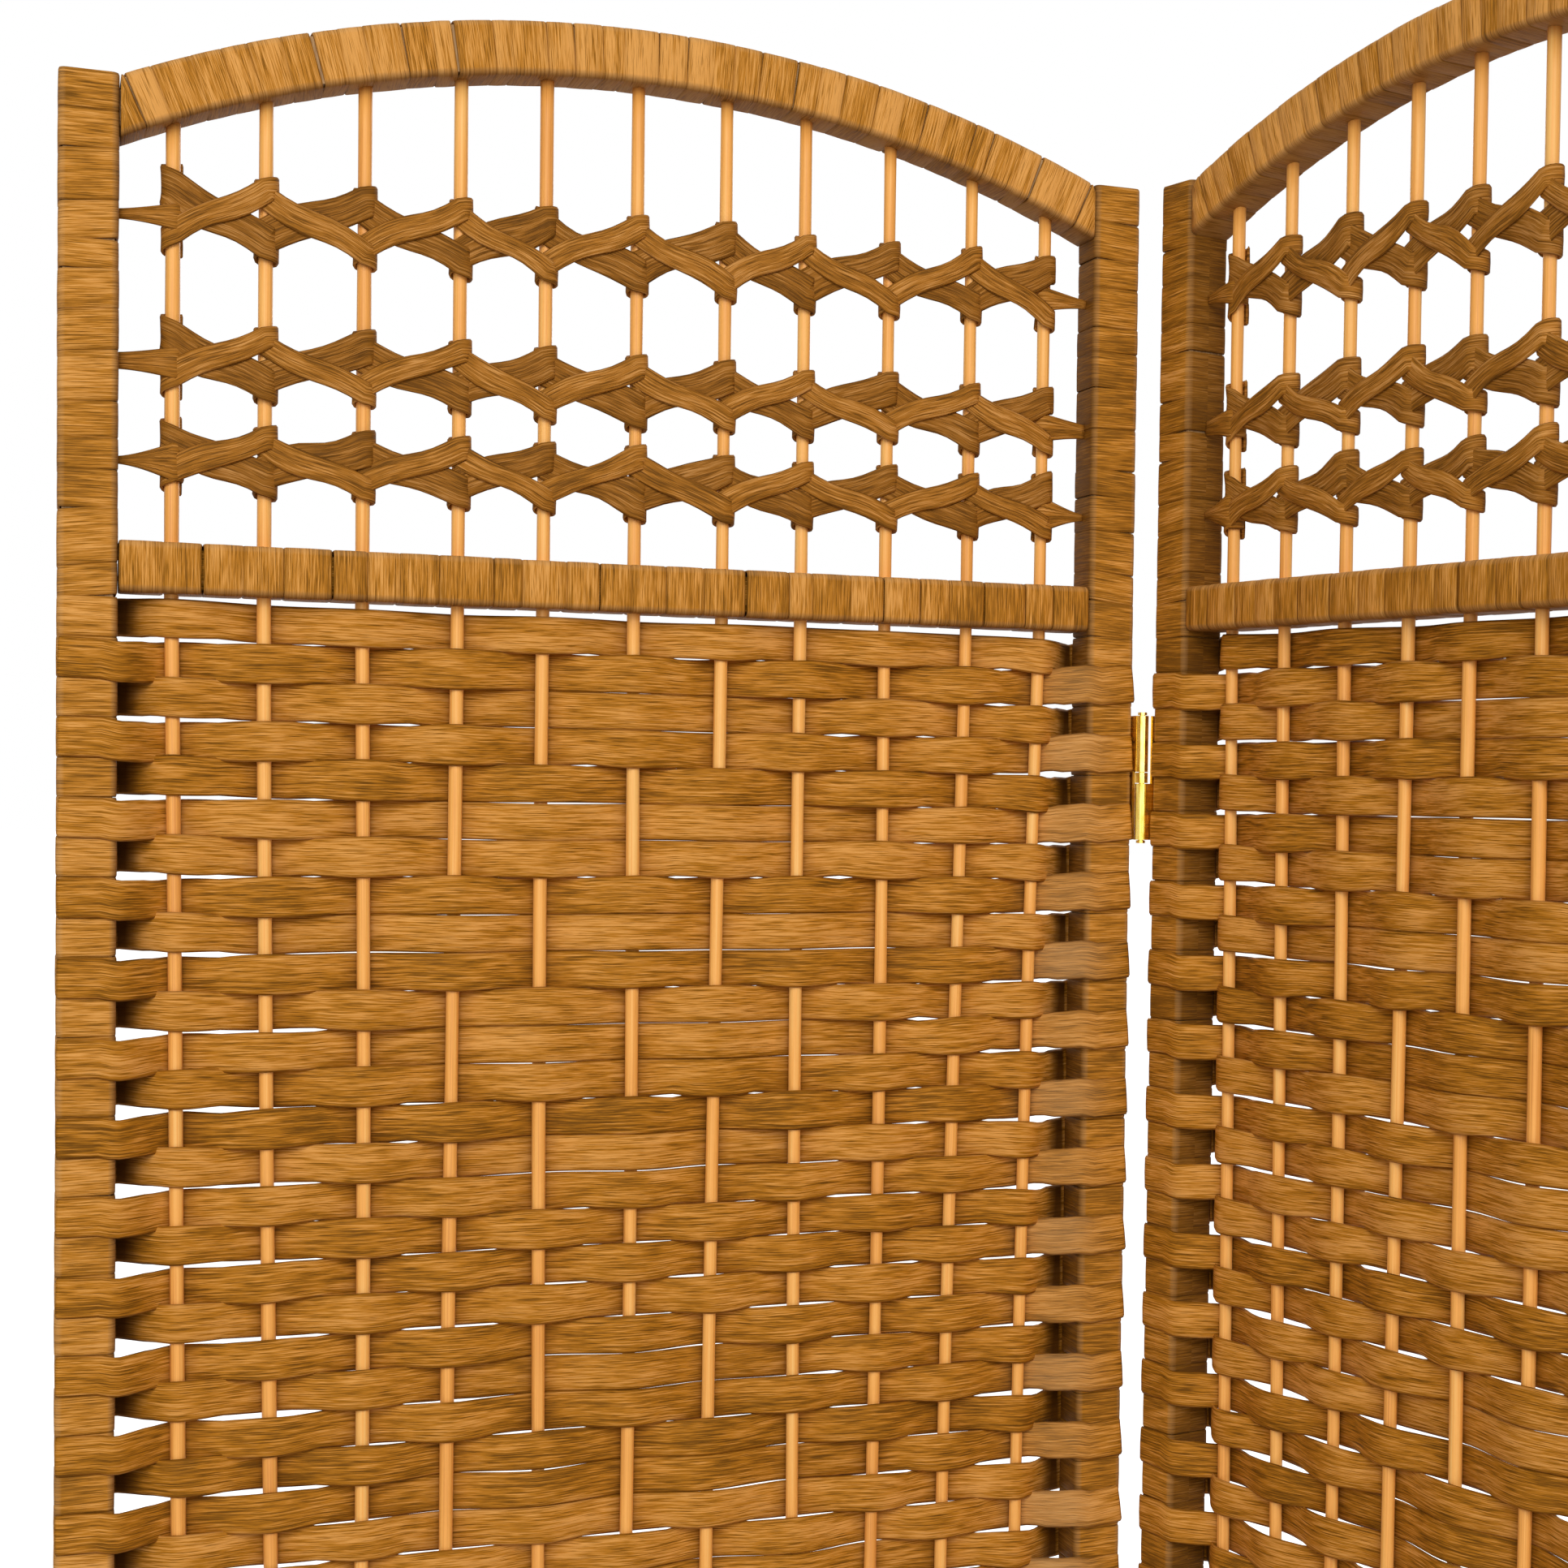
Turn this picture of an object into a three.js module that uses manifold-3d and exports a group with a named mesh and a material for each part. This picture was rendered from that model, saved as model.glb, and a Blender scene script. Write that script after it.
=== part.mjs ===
// A three-panel folding screen of woven plant fibre, standing in a zigzag.
// Each panel is a timber frame bound with flat strip: two stiles, an arched top rail, a crossbar and a
// bottom rail. Eleven thin rods run down each panel. Above the crossbar pairs of flat strips zigzag from
// rod to rod as an open lattice, and below it wide wefts are woven over and under the rods.
// Millimetres, +Z up. The front faces -Y, and the origin is on the floor under the middle panel.
import * as THREE from "three";
import { mergeVertices } from "three/addons/utils/BufferGeometryUtils.js";
import Module from "manifold-3d";

const wasm = await Module();
wasm.setup();

// Frame of a panel
const PANEL_WIDTH = 445;
const STILE_HEIGHT = 1758; // floor to the flat top of a stile
const ARCH_RISE = 42; // crown of the arched rail above the stiles
const STILE_FACE = 22;
const FRAME_DEPTH = 22;
const ARCH_FACE = 22;
const CROSSBAR_FACE = 20;
const BOTTOM_RAIL_FACE = 20;
const LATTICE_HEIGHT = 176; // stile's top down to the crossbar's top
const FOOT_HEIGHT = 70; // floor up to the bottom rail
const BARE_FOOT = 10; // timber that shows under a stile's binding
const CORNER_RADIUS = 3;
const BINDING = 1.5; // thickness of the bound strip
const TENON_LENGTH = 10;
const TENON_SHOULDER = 5; // how far a tenon is set in from its rail's faces
const SEAT_GAP = 0.3; // between pieces that rest on each other

// Rods
const ROD_COUNT = 11;
const ROD_EDGE = 18.5; // stile's inner face to the middle of the first rod
const ROD_DIAMETER = 5.5;

// Lattice
const BAND_NAMES = ["top", "middle", "bottom"];
const BAND_DROPS = [48, 104, 142]; // stile's top down to the middle of each band
const BAND_SWING = 12; // height of a strip above or below its band's middle, at a rod
const STRIP_WIDTH = 10;
const STRIP_THICKNESS = 1.2;

// Woven field
const WEFT_PITCH = 15.4;
const WEFTS_PER_COURSE = 5; // wefts that cross the rods together
const WEFT_THICKNESS = 1.4;
const SELVEDGE = 4; // flat edge beside a stile
const WEFT_SLIT = 0.75; // mean daylight between two wefts, gathered between the courses

// Hinges
const HINGE_NAMES = ["top", "middle", "bottom"];
const HINGE_DROPS = [260, 870, 1480]; // stile's top down to the middle of each hinge
const HINGE_HEIGHT = 55;
const KNUCKLE_RADIUS = 2.9;
const PIN_RADIUS = 1.3;
const PIN_CLEARANCE = 0.3;
const COLLAR_HEIGHT = 4.6; // ring between the two knuckles
const LEAF_THICKNESS = 1.2;
const LEAF_DEPTH = 18;
const PIN_PROUD = 2.6; // pin's axis in front of the frame's face
const PIN_HEAD = 1.2;
const KNUCKLE_RELIEF = 0.5; // between a leaf's cut edge and the other leaf's knuckle
const REST_FOLD = 38; // degrees that each panel is turned from the screen's line

// Facets
const CORNER_SEGMENTS = 2;
const ARCH_SEGMENTS = 12;
const ROUND_SEGMENTS = 9;
const ROD_SEGMENTS = 6;

// Places that follow from the sizes
const HALF_OPENING = PANEL_WIDTH / 2 - STILE_FACE;
const CORE_INSET = BINDING + SEAT_GAP;
const ROD_RADIUS = ROD_DIAMETER / 2;
const ROD_PITCH = 2 * (HALF_OPENING - ROD_EDGE) / (ROD_COUNT - 1);
const COURSE_SLIT = WEFT_SLIT * WEFTS_PER_COURSE;
const CROSSBAR_TOP = STILE_HEIGHT - LATTICE_HEIGHT;
const CROSSBAR_MIDDLE = CROSSBAR_TOP - CROSSBAR_FACE / 2;
const BOTTOM_RAIL_MIDDLE = FOOT_HEIGHT + BOTTOM_RAIL_FACE / 2;
const FIELD_TOP = CROSSBAR_TOP - CROSSBAR_FACE - SEAT_GAP;
const FIELD_BOTTOM = FOOT_HEIGHT + BOTTOM_RAIL_FACE + SEAT_GAP;
const ARCH_RADIUS = (HALF_OPENING ** 2 + ARCH_RISE ** 2) / (2 * ARCH_RISE);
const ARCH_CENTRE = STILE_HEIGHT + ARCH_RISE - ARCH_RADIUS;
const PIN_X = PANEL_WIDTH / 2 + KNUCKLE_RADIUS + SEAT_GAP;
const PIN_Y = FRAME_DEPTH / 2 + PIN_PROUD;

const FINISHES = {
  binding: { color: 0x9a6a30, roughness: 0.7, metalness: 0 },
  timber: { color: 0xb08350, roughness: 0.75, metalness: 0 },
  rod: { color: 0xe6b16c, roughness: 0.6, metalness: 0 },
  lattice: { color: 0x8c5f2c, roughness: 0.7, metalness: 0 },
  weave: { color: 0x94652e, roughness: 0.75, metalness: 0 },
  brass: { color: 0xd2a548, roughness: 0.3, metalness: 1 },
};

// Solids and meshes ------------------------------------------------------------------------------

function toSolid(geometry) {
  geometry.deleteAttribute("normal");
  geometry.deleteAttribute("uv");
  const merged = mergeVertices(geometry);
  const vertProperties = merged.attributes.position.array;
  const triVerts = new Uint32Array(merged.index.array);
  return new wasm.Manifold(new wasm.Mesh({ numProp: 3, vertProperties, triVerts }));
}

function toGeometry(solid) {
  const { vertProperties, triVerts } = solid.getMesh();
  const geometry = new THREE.BufferGeometry();
  geometry.setAttribute("position", new THREE.BufferAttribute(vertProperties, 3));
  geometry.setIndex(new THREE.BufferAttribute(triVerts, 1));
  geometry.computeVertexNormals();
  return geometry;
}

function toMesh(name, solid, finish) {
  const mesh = new THREE.Mesh(toGeometry(solid), new THREE.MeshStandardMaterial(FINISHES[finish]));
  mesh.name = name;
  return mesh;
}

function join(solids) {
  return solids.reduce((whole, piece) => whole.add(piece));
}

// A block between two corners, whichever way round they are given.
function block(from, to) {
  const box = new THREE.Box3().setFromPoints([new THREE.Vector3(...from), new THREE.Vector3(...to)]);
  const size = box.getSize(new THREE.Vector3());
  const centre = box.getCenter(new THREE.Vector3());
  return toSolid(new THREE.BoxGeometry(size.x, size.y, size.z).translate(centre.x, centre.y, centre.z));
}

function cylinder(radius, x, y, low, high, segments) {
  const geometry = new THREE.CylinderGeometry(radius, radius, high - low, segments);
  return toSolid(geometry.rotateX(Math.PI / 2).translate(x, y, (low + high) / 2));
}

// A closed solid through convex sections of equally many points, each drawn from +Y to +Z as it runs to +X.
function loft(sections) {
  const count = sections[0].length;
  const last = count * (sections.length - 1);
  const index = [];
  for (let corner = 1; corner < count - 1; corner++) {
    index.push(0, corner + 1, corner, last, last + corner, last + corner + 1);
  }
  for (let start = 0; start < last; start += count) {
    for (let corner = 0; corner < count; corner++) {
      const a = start + corner;
      const b = start + (corner + 1) % count;
      index.push(a, b, b + count, a, b + count, a + count);
    }
  }
  const geometry = new THREE.BufferGeometry();
  geometry.setAttribute("position", new THREE.Float32BufferAttribute(sections.flat(2), 3));
  geometry.setIndex(index);
  return toSolid(geometry);
}

function roundedRectangle(width, height, radius) {
  const x = width / 2 - radius;
  const y = height / 2 - radius;
  const quarter = Math.PI / 2;
  const shape = new THREE.Shape();
  shape.absarc(x, -y, radius, -quarter, 0);
  shape.absarc(x, y, radius, 0, quarter);
  shape.absarc(-x, y, radius, quarter, 2 * quarter);
  shape.absarc(-x, -y, radius, 2 * quarter, 3 * quarter);
  return shape;
}

// Frame ------------------------------------------------------------------------------------------

// A level bar with rounded long edges, from -halfLength to +halfLength.
function levelBar(face, depth, radius, halfLength, middle) {
  const options = { depth: 2 * halfLength, bevelEnabled: false, curveSegments: CORNER_SEGMENTS };
  const geometry = new THREE.ExtrudeGeometry(roundedRectangle(face, depth, radius), options);
  return toSolid(geometry.rotateY(Math.PI / 2).translate(-halfLength, 0, middle));
}

// The outline between the arch's two arcs, set in all round and cut off upright at +-halfLength.
function archOutline(inset, halfLength) {
  const outer = ARCH_RADIUS - inset;
  const inner = ARCH_RADIUS - ARCH_FACE + inset;
  const outerAngle = Math.acos(halfLength / outer);
  const innerAngle = Math.acos(halfLength / inner);
  const shape = new THREE.Shape();
  shape.absarc(0, ARCH_CENTRE, outer, outerAngle, Math.PI - outerAngle);
  shape.absarc(0, ARCH_CENTRE, inner, Math.PI - innerAngle, innerAngle, true);
  return shape;
}

function archBlock(inset, halfLength, depth) {
  const options = { depth, bevelEnabled: false, curveSegments: ARCH_SEGMENTS };
  const geometry = new THREE.ExtrudeGeometry(archOutline(inset, halfLength), options);
  return toSolid(geometry.rotateX(Math.PI / 2).translate(0, depth / 2, 0));
}

// The bound rail's rounded section carried round the arc from left to right, past both stiles' faces.
function boundArch() {
  const outline = roundedRectangle(FRAME_DEPTH, ARCH_FACE, CORNER_RADIUS).getPoints(CORNER_SEGMENTS);
  const section = outline.filter((point, index) => point.distanceTo(outline.at(index - 1)) > 0.01);
  const middle = ARCH_RADIUS - ARCH_FACE / 2;
  const end = Math.acos((HALF_OPENING + STILE_FACE / 2) / ARCH_RADIUS);
  const sections = [];
  for (let step = 0; step <= ARCH_SEGMENTS; step++) {
    const angle = Math.PI - end - (Math.PI - 2 * end) * step / ARCH_SEGMENTS;
    sections.push(section.map(({ x, y }) => [
      (middle + y) * Math.cos(angle),
      x,
      ARCH_CENTRE + (middle + y) * Math.sin(angle),
    ]));
  }
  return loft(sections);
}

// The tenons of all three rails, grown by a clearance to cut the mortises that take them.
function railTenons(clearance) {
  const inset = TENON_SHOULDER - clearance;
  const halfLength = HALF_OPENING + TENON_LENGTH + clearance;
  const depth = FRAME_DEPTH - 2 * inset;
  const tenon = (face, middle) => {
    const half = face / 2 - inset;
    return block([-halfLength, -depth / 2, middle - half], [halfLength, depth / 2, middle + half]);
  };
  return {
    arch: archBlock(inset, halfLength, depth),
    crossbar: tenon(CROSSBAR_FACE, CROSSBAR_MIDDLE),
    bottomRail: tenon(BOTTOM_RAIL_FACE, BOTTOM_RAIL_MIDDLE),
  };
}

// side is -1 for the left stile and +1 for the right one.
function stile(side) {
  const middle = side * (HALF_OPENING + STILE_FACE / 2);
  const coreHalf = STILE_FACE / 2 - CORE_INSET;
  const coreDepth = FRAME_DEPTH / 2 - CORE_INSET;
  const coreTop = STILE_HEIGHT - CORE_INSET;
  const mortises = join(Object.values(railTenons(SEAT_GAP)));
  const timber = block([middle - coreHalf, -coreDepth, 0], [middle + coreHalf, coreDepth, coreTop]);
  const hollowHalf = coreHalf + SEAT_GAP;
  const hollowDepth = coreDepth + SEAT_GAP;
  const hollow = block(
    [middle - hollowHalf, -hollowDepth, 0],
    [middle + hollowHalf, hollowDepth, coreTop + SEAT_GAP],
  );
  const options = { depth: STILE_HEIGHT - BARE_FOOT, bevelEnabled: false, curveSegments: CORNER_SEGMENTS };
  const outline = roundedRectangle(STILE_FACE, FRAME_DEPTH, CORNER_RADIUS);
  const outside = toSolid(new THREE.ExtrudeGeometry(outline, options).translate(middle, 0, BARE_FOOT));
  return { timber: timber.subtract(mortises), binding: outside.subtract(hollow).subtract(mortises) };
}

function archedRail() {
  const tenons = railTenons(0).arch;
  const reach = HALF_OPENING - SEAT_GAP;
  const body = archBlock(CORE_INSET, reach, FRAME_DEPTH - 2 * CORE_INSET);
  const above = STILE_HEIGHT + 2 * ARCH_RISE;
  const between = block([-reach, -FRAME_DEPTH, CROSSBAR_TOP], [reach, FRAME_DEPTH, above]);
  const outside = boundArch().intersect(between);
  const hollow = archBlock(BINDING, HALF_OPENING, FRAME_DEPTH - 2 * BINDING);
  return { timber: body.add(tenons), binding: outside.subtract(hollow) };
}

function bottomRail() {
  const reach = HALF_OPENING - SEAT_GAP;
  const face = BOTTOM_RAIL_FACE;
  const middle = BOTTOM_RAIL_MIDDLE;
  const half = face / 2 - CORE_INSET;
  const depth = FRAME_DEPTH / 2 - CORE_INSET;
  const body = block([-reach, -depth, middle - half], [reach, depth, middle + half]);
  const hollowHalf = half + SEAT_GAP;
  const hollowDepth = depth + SEAT_GAP;
  const hollow = block(
    [-HALF_OPENING, -hollowDepth, middle - hollowHalf],
    [HALF_OPENING, hollowDepth, middle + hollowHalf],
  );
  const outside = levelBar(face, FRAME_DEPTH, CORNER_RADIUS, reach, middle);
  return { timber: body.add(railTenons(0).bottomRail), binding: outside.subtract(hollow) };
}

// Rods -------------------------------------------------------------------------------------------

function rodX(index) {
  return (index - (ROD_COUNT + 1) / 2) * ROD_PITCH;
}

// A rod's top stops just under the arch, whose underside is lowest on the side away from the middle.
function rod(index) {
  const x = rodX(index);
  const reach = Math.abs(x) + ROD_RADIUS;
  const top = ARCH_CENTRE + Math.sqrt((ARCH_RADIUS - ARCH_FACE) ** 2 - reach ** 2) - SEAT_GAP;
  return cylinder(ROD_RADIUS, x, 0, FIELD_BOTTOM, top, ROD_SEGMENTS);
}

// The bound crossbar with the rods that it holds, which run through it from the arch to the bottom rail.
function crossbarWithRods() {
  const reach = HALF_OPENING - SEAT_GAP;
  const bar = levelBar(CROSSBAR_FACE, FRAME_DEPTH, CORNER_RADIUS, reach, CROSSBAR_MIDDLE);
  const rods = Array.from({ length: ROD_COUNT }, (_, index) => rod(index + 1));
  return join([bar, railTenons(0).crossbar, ...rods]);
}

// Lattice and woven field ------------------------------------------------------------------------

// How far a strip's middle stands off the rods' line where it passes one, so that it clears the rod
// on its way from the front of one rod to the back of the next.
function standOff(thickness) {
  const clear = ROD_RADIUS + SEAT_GAP + thickness / 2;
  return clear / Math.sqrt(1 - (2 * clear / ROD_PITCH) ** 2);
}

// A ribbon through points {x, y, z}, upright, with the same section all along.
function ribbon(points, width, thickness) {
  const corners = [[-1, -1], [1, -1], [1, 1], [-1, 1]];
  return loft(points.map(({ x, y, z }) =>
    corners.map(([dy, dz]) => [x, y + dy * thickness / 2, z + dz * width / 2])));
}

// A strip stands high in front of every other rod and low behind the rods between, and runs into the
// stiles level with the middle of its band. Two strips of opposite phase make a band of crosses.
function latticeStrip(middle, phase) {
  const offset = standOff(STRIP_THICKNESS);
  const reach = HALF_OPENING - SEAT_GAP;
  const points = [{ x: -reach, y: 0, z: middle }];
  for (let index = 1; index <= ROD_COUNT; index++) {
    const high = (index % 2 === 0) === (phase > 0) ? 1 : -1;
    points.push({ x: rodX(index), y: -high * offset, z: middle + high * BAND_SWING });
  }
  points.push({ x: reach, y: 0, z: middle });
  return ribbon(points, STRIP_WIDTH, STRIP_THICKNESS);
}

function latticeBand(drop) {
  const middle = STILE_HEIGHT - drop;
  return latticeStrip(middle, 1).add(latticeStrip(middle, -1));
}

// One course of wefts seen from above: flat beside the stiles, then behind and in front of the rods.
function courseOutline(course) {
  const offset = standOff(WEFT_THICKNESS);
  const reach = HALF_OPENING - SEAT_GAP;
  const line = [[-reach, 0], [-reach + SELVEDGE, 0]];
  for (let index = 1; index <= ROD_COUNT; index++) {
    const behind = (index + course) % 2 === 1;
    line.push([rodX(index), behind ? offset : -offset]);
  }
  line.push([reach - SELVEDGE, 0], [reach, 0]);
  const side = (shift) => line.map(([x, y]) => new THREE.Vector2(x, y + shift));
  return new THREE.Shape([...side(-WEFT_THICKNESS / 2), ...side(WEFT_THICKNESS / 2).reverse()]);
}

function wovenField() {
  const height = FIELD_TOP - FIELD_BOTTOM;
  const courses = Math.round(height / (WEFT_PITCH * WEFTS_PER_COURSE));
  const pitch = height / courses;
  const pieces = [];
  for (let course = 0; course < courses; course++) {
    const options = { depth: pitch - COURSE_SLIT, bevelEnabled: false };
    const geometry = new THREE.ExtrudeGeometry(courseOutline(course), options);
    pieces.push(toSolid(geometry.translate(0, 0, FIELD_TOP - (course + 1) * pitch + COURSE_SLIT / 2)));
  }
  const reach = HALF_OPENING - SEAT_GAP;
  const half = WEFT_THICKNESS / 2;
  for (const side of [-1, 1]) {
    const outer = [side * reach, -half, FIELD_BOTTOM + COURSE_SLIT / 2];
    pieces.push(block(outer, [side * (reach - SELVEDGE), half, FIELD_TOP - COURSE_SLIT / 2]));
  }
  return join(pieces);
}

// Hinges -----------------------------------------------------------------------------------------

// A leaf lies on a stile's outer side and rolls into one knuckle round the pin. side is the panel's side,
// face is -1 for a pin in front and +1 for one behind, and half is +1 for the upper knuckle.
function hingeLeaf(side, face, half, middle) {
  const inner = side * (PANEL_WIDTH / 2 + SEAT_GAP);
  const outer = inner + side * LEAF_THICKNESS;
  const pinY = face * PIN_Y;
  const deepY = face * (FRAME_DEPTH / 2 - LEAF_DEPTH);
  const cutY = pinY - face * (KNUCKLE_RADIUS + KNUCKLE_RELIEF);
  const near = half * (COLLAR_HEIGHT / 2 + SEAT_GAP);
  const far = half * HINGE_HEIGHT / 2;
  const plate = block([inner, cutY, middle - far], [outer, deepY, middle + far]);
  const neck = block([inner, pinY, middle + near], [outer, cutY, middle + far]);
  const low = middle + Math.min(near, far);
  const high = middle + Math.max(near, far);
  const knuckle = cylinder(KNUCKLE_RADIUS, side * PIN_X, pinY, low, high, ROUND_SEGMENTS);
  const bore = cylinder(PIN_RADIUS + PIN_CLEARANCE, side * PIN_X, pinY, low - 1, high + 1, ROUND_SEGMENTS);
  return join([plate, neck, knuckle]).subtract(bore);
}

// The pin has a head above and below the knuckles and a collar between them.
function hingePin(side, face, middle) {
  const end = HINGE_HEIGHT / 2 + SEAT_GAP;
  const head = (PIN_RADIUS + KNUCKLE_RADIUS) / 2;
  const collar = COLLAR_HEIGHT / 2;
  const profile = [
    [0, -end - PIN_HEAD], [head, -end - PIN_HEAD], [head, -end], [PIN_RADIUS, -end],
    [PIN_RADIUS, -collar], [KNUCKLE_RADIUS, -collar], [KNUCKLE_RADIUS, collar], [PIN_RADIUS, collar],
    [PIN_RADIUS, end], [head, end], [head, end + PIN_HEAD], [0, end + PIN_HEAD],
  ];
  const points = profile.map(([radius, height]) => new THREE.Vector2(radius, height));
  const geometry = new THREE.LatheGeometry(points, ROUND_SEGMENTS);
  return toSolid(geometry.rotateX(Math.PI / 2).translate(side * PIN_X, face * PIN_Y, middle));
}

// Panels -----------------------------------------------------------------------------------------

function framePieces(name) {
  const left = stile(-1);
  const right = stile(1);
  const arch = archedRail();
  const bottom = bottomRail();
  return [
    toMesh(`${name}_left_stile_timber`, left.timber, "timber"),
    toMesh(`${name}_left_stile_binding`, left.binding, "binding"),
    toMesh(`${name}_right_stile_timber`, right.timber, "timber"),
    toMesh(`${name}_right_stile_binding`, right.binding, "binding"),
    toMesh(`${name}_arch_timber`, arch.timber, "timber"),
    toMesh(`${name}_arch_binding`, arch.binding, "binding"),
    toMesh(`${name}_bottom_rail_timber`, bottom.timber, "timber"),
    toMesh(`${name}_bottom_rail_binding`, bottom.binding, "binding"),
    toMesh(`${name}_crossbar_and_rods`, crossbarWithRods(), "rod"),
  ];
}

function infillPieces(name) {
  const bands = BAND_NAMES.map((band, index) =>
    toMesh(`${name}_${band}_lattice_band`, latticeBand(BAND_DROPS[index]), "lattice"));
  return [...bands, toMesh(`${name}_woven_field`, wovenField(), "weave")];
}

// The hinges of one joint: the left panel has the upper knuckle and the pin, the right one the lower.
function hingePieces(joint, leftPanel, rightPanel, face) {
  HINGE_NAMES.forEach((name, index) => {
    const middle = STILE_HEIGHT - HINGE_DROPS[index];
    const prefix = `hinge_${joint}_${name}`;
    leftPanel.add(toMesh(`${prefix}_upper_leaf`, hingeLeaf(1, face, 1, middle), "brass"));
    leftPanel.add(toMesh(`${prefix}_pin`, hingePin(1, face, middle), "brass"));
    rightPanel.add(toMesh(`${prefix}_lower_leaf`, hingeLeaf(-1, face, -1, middle), "brass"));
  });
}

function makePanel(number, turn) {
  const panel = new THREE.Group();
  panel.rotation.z = THREE.MathUtils.degToRad(turn);
  panel.add(...framePieces(`panel_${number}`), ...infillPieces(`panel_${number}`));
  return panel;
}

// Moves a panel until its own pin point lies on a pin point of the fixed panel.
function hang(panel, ownPin, fixedPanel, fixedPin) {
  const upright = new THREE.Vector3(0, 0, 1);
  const target = new THREE.Vector3(...fixedPin, 0).applyAxisAngle(upright, fixedPanel.rotation.z);
  const own = new THREE.Vector3(...ownPin, 0).applyAxisAngle(upright, panel.rotation.z);
  panel.position.copy(target.add(fixedPanel.position).sub(own));
}

// Joint 1 has its pins in front of the faces and joint 2 behind them, so the screen folds like a letter Z.
function makeScreen() {
  const screen = new THREE.Group();
  const left = makePanel(1, REST_FOLD);
  const middle = makePanel(2, -REST_FOLD);
  const right = makePanel(3, REST_FOLD);
  hang(left, [PIN_X, -PIN_Y], middle, [-PIN_X, -PIN_Y]);
  hang(right, [-PIN_X, PIN_Y], middle, [PIN_X, PIN_Y]);
  hingePieces(1, left, middle, -1);
  hingePieces(2, middle, right, 1);
  screen.add(left, middle, right);
  return screen;
}

export default makeScreen();
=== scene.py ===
"""The looks of a three-panel folding screen of woven plant fibre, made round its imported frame.

Every strip, turn and rod is a surface worked out with numpy in a panel's own coordinates: x along the panel
from its middle, y through it with the front at negative y, and z up from the floor. Lengths are in metres.
"""
import math

import bpy
import numpy as np
from mathutils import Matrix, Vector


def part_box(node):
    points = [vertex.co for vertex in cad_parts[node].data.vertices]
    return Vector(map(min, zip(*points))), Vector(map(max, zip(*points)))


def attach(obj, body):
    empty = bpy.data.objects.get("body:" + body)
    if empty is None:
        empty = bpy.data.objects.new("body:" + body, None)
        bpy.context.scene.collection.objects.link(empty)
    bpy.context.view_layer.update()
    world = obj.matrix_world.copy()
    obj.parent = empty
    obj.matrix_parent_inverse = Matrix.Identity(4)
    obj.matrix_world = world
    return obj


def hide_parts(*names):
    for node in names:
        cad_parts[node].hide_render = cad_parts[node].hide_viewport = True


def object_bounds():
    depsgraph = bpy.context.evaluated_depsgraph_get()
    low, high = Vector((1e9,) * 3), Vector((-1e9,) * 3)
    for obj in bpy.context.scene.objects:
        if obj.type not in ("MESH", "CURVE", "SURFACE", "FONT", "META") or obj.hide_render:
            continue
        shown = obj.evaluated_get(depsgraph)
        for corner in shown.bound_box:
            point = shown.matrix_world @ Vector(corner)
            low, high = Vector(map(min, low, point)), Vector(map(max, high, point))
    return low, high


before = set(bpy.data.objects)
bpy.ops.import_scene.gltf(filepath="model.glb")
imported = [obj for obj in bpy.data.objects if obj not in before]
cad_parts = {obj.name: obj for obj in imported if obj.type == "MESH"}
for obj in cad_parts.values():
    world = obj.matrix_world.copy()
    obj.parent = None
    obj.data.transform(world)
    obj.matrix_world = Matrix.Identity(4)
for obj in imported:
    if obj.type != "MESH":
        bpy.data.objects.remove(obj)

bl_info = {
    "name": "Woven Folding Screen",
    "version": (1, 0, 0),
    "blender": (4, 5, 0),
    "location": "3D View > Sidebar > Woven Screen",
    "description": "Dresses a framed folding screen with bound, woven and latticed plant fibre strip",
    "category": "Object",
}

MM = 0.001
PANELS = (1, 2, 3)
SIDES = {"left": -1, "right": 1}
BANDS = ("top", "middle", "bottom")
HINGE_PLACES = ("top", "middle", "bottom")
LEAVES = {1: "upper", -1: "lower"}

# Sizes that repeat the frame's own
FRAME_DEPTH = 22 * MM
STILE_FACE = 22 * MM
RAIL_FACE = 20 * MM
BARE_FOOT = 10 * MM
ARCH_RISE = 42 * MM
ROD_COUNT = 11
ROD_PITCH = 36.4 * MM
ROD_RADIUS = 2.75 * MM
CORNER_RADIUS = 3 * MM
BAND_DROPS = (48 * MM, 104 * MM, 142 * MM)
LATTICE_HEIGHT = 176 * MM
SEAT_GAP = 0.3 * MM
LEAF_THICKNESS = 1.2 * MM

# Screws of the hinges
SCREW_RINGS = ((2.3 * MM, 0.02 * MM), (2.3 * MM, 0.16 * MM), (1.7 * MM, 0.36 * MM), (0.6 * MM, 0.46 * MM))
SCREW_SPREAD = 17 * MM
SCREW_STAGGER = 2.2 * MM
SCREW_DEPTH = 1.6 * MM  # from the panel's middle plane towards the pins
SCREW_CORNERS = 16

# Woven field
ROW_COUNT = 96
DIAMOND_ROWS = 18  # rows from one diamond's top to the next one's
DIAMOND_REACH = {2: 1, 5: 2, 8: 3, 11: 2, 14: 1}  # row: rods on each side of the middle one under its float
BEND_STEPS = 8  # facets of a strip between two rods
STAND_OFF = 3.7 * MM  # a weft's middle from the rods' line
WEFT_THICKNESS = 1.2 * MM
OPEN_SLIT = 0.2 * MM  # mean daylight between two rows that cross each other
SLIT_SWAY = 0.62 * MM
ROD_LAP = 1.7 * MM  # how far such rows pass over each other's edges at a rod
LEFT_LIFT = 1.5 * MM  # how far rows part beside a left stile
LEFT_FADE = 46 * MM
RIGHT_LIFT = 2.0 * MM
RIGHT_FADE = 20 * MM
LAP_SLANT = 2.4 * MM  # how far a weft climbs over a right stile's front
SLANT_RUN_UP = 8 * MM  # how far before the stile it starts to climb
LAP_SETTLES = 0.8  # share of the parting that is gone once a weft lies on a stile
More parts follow.
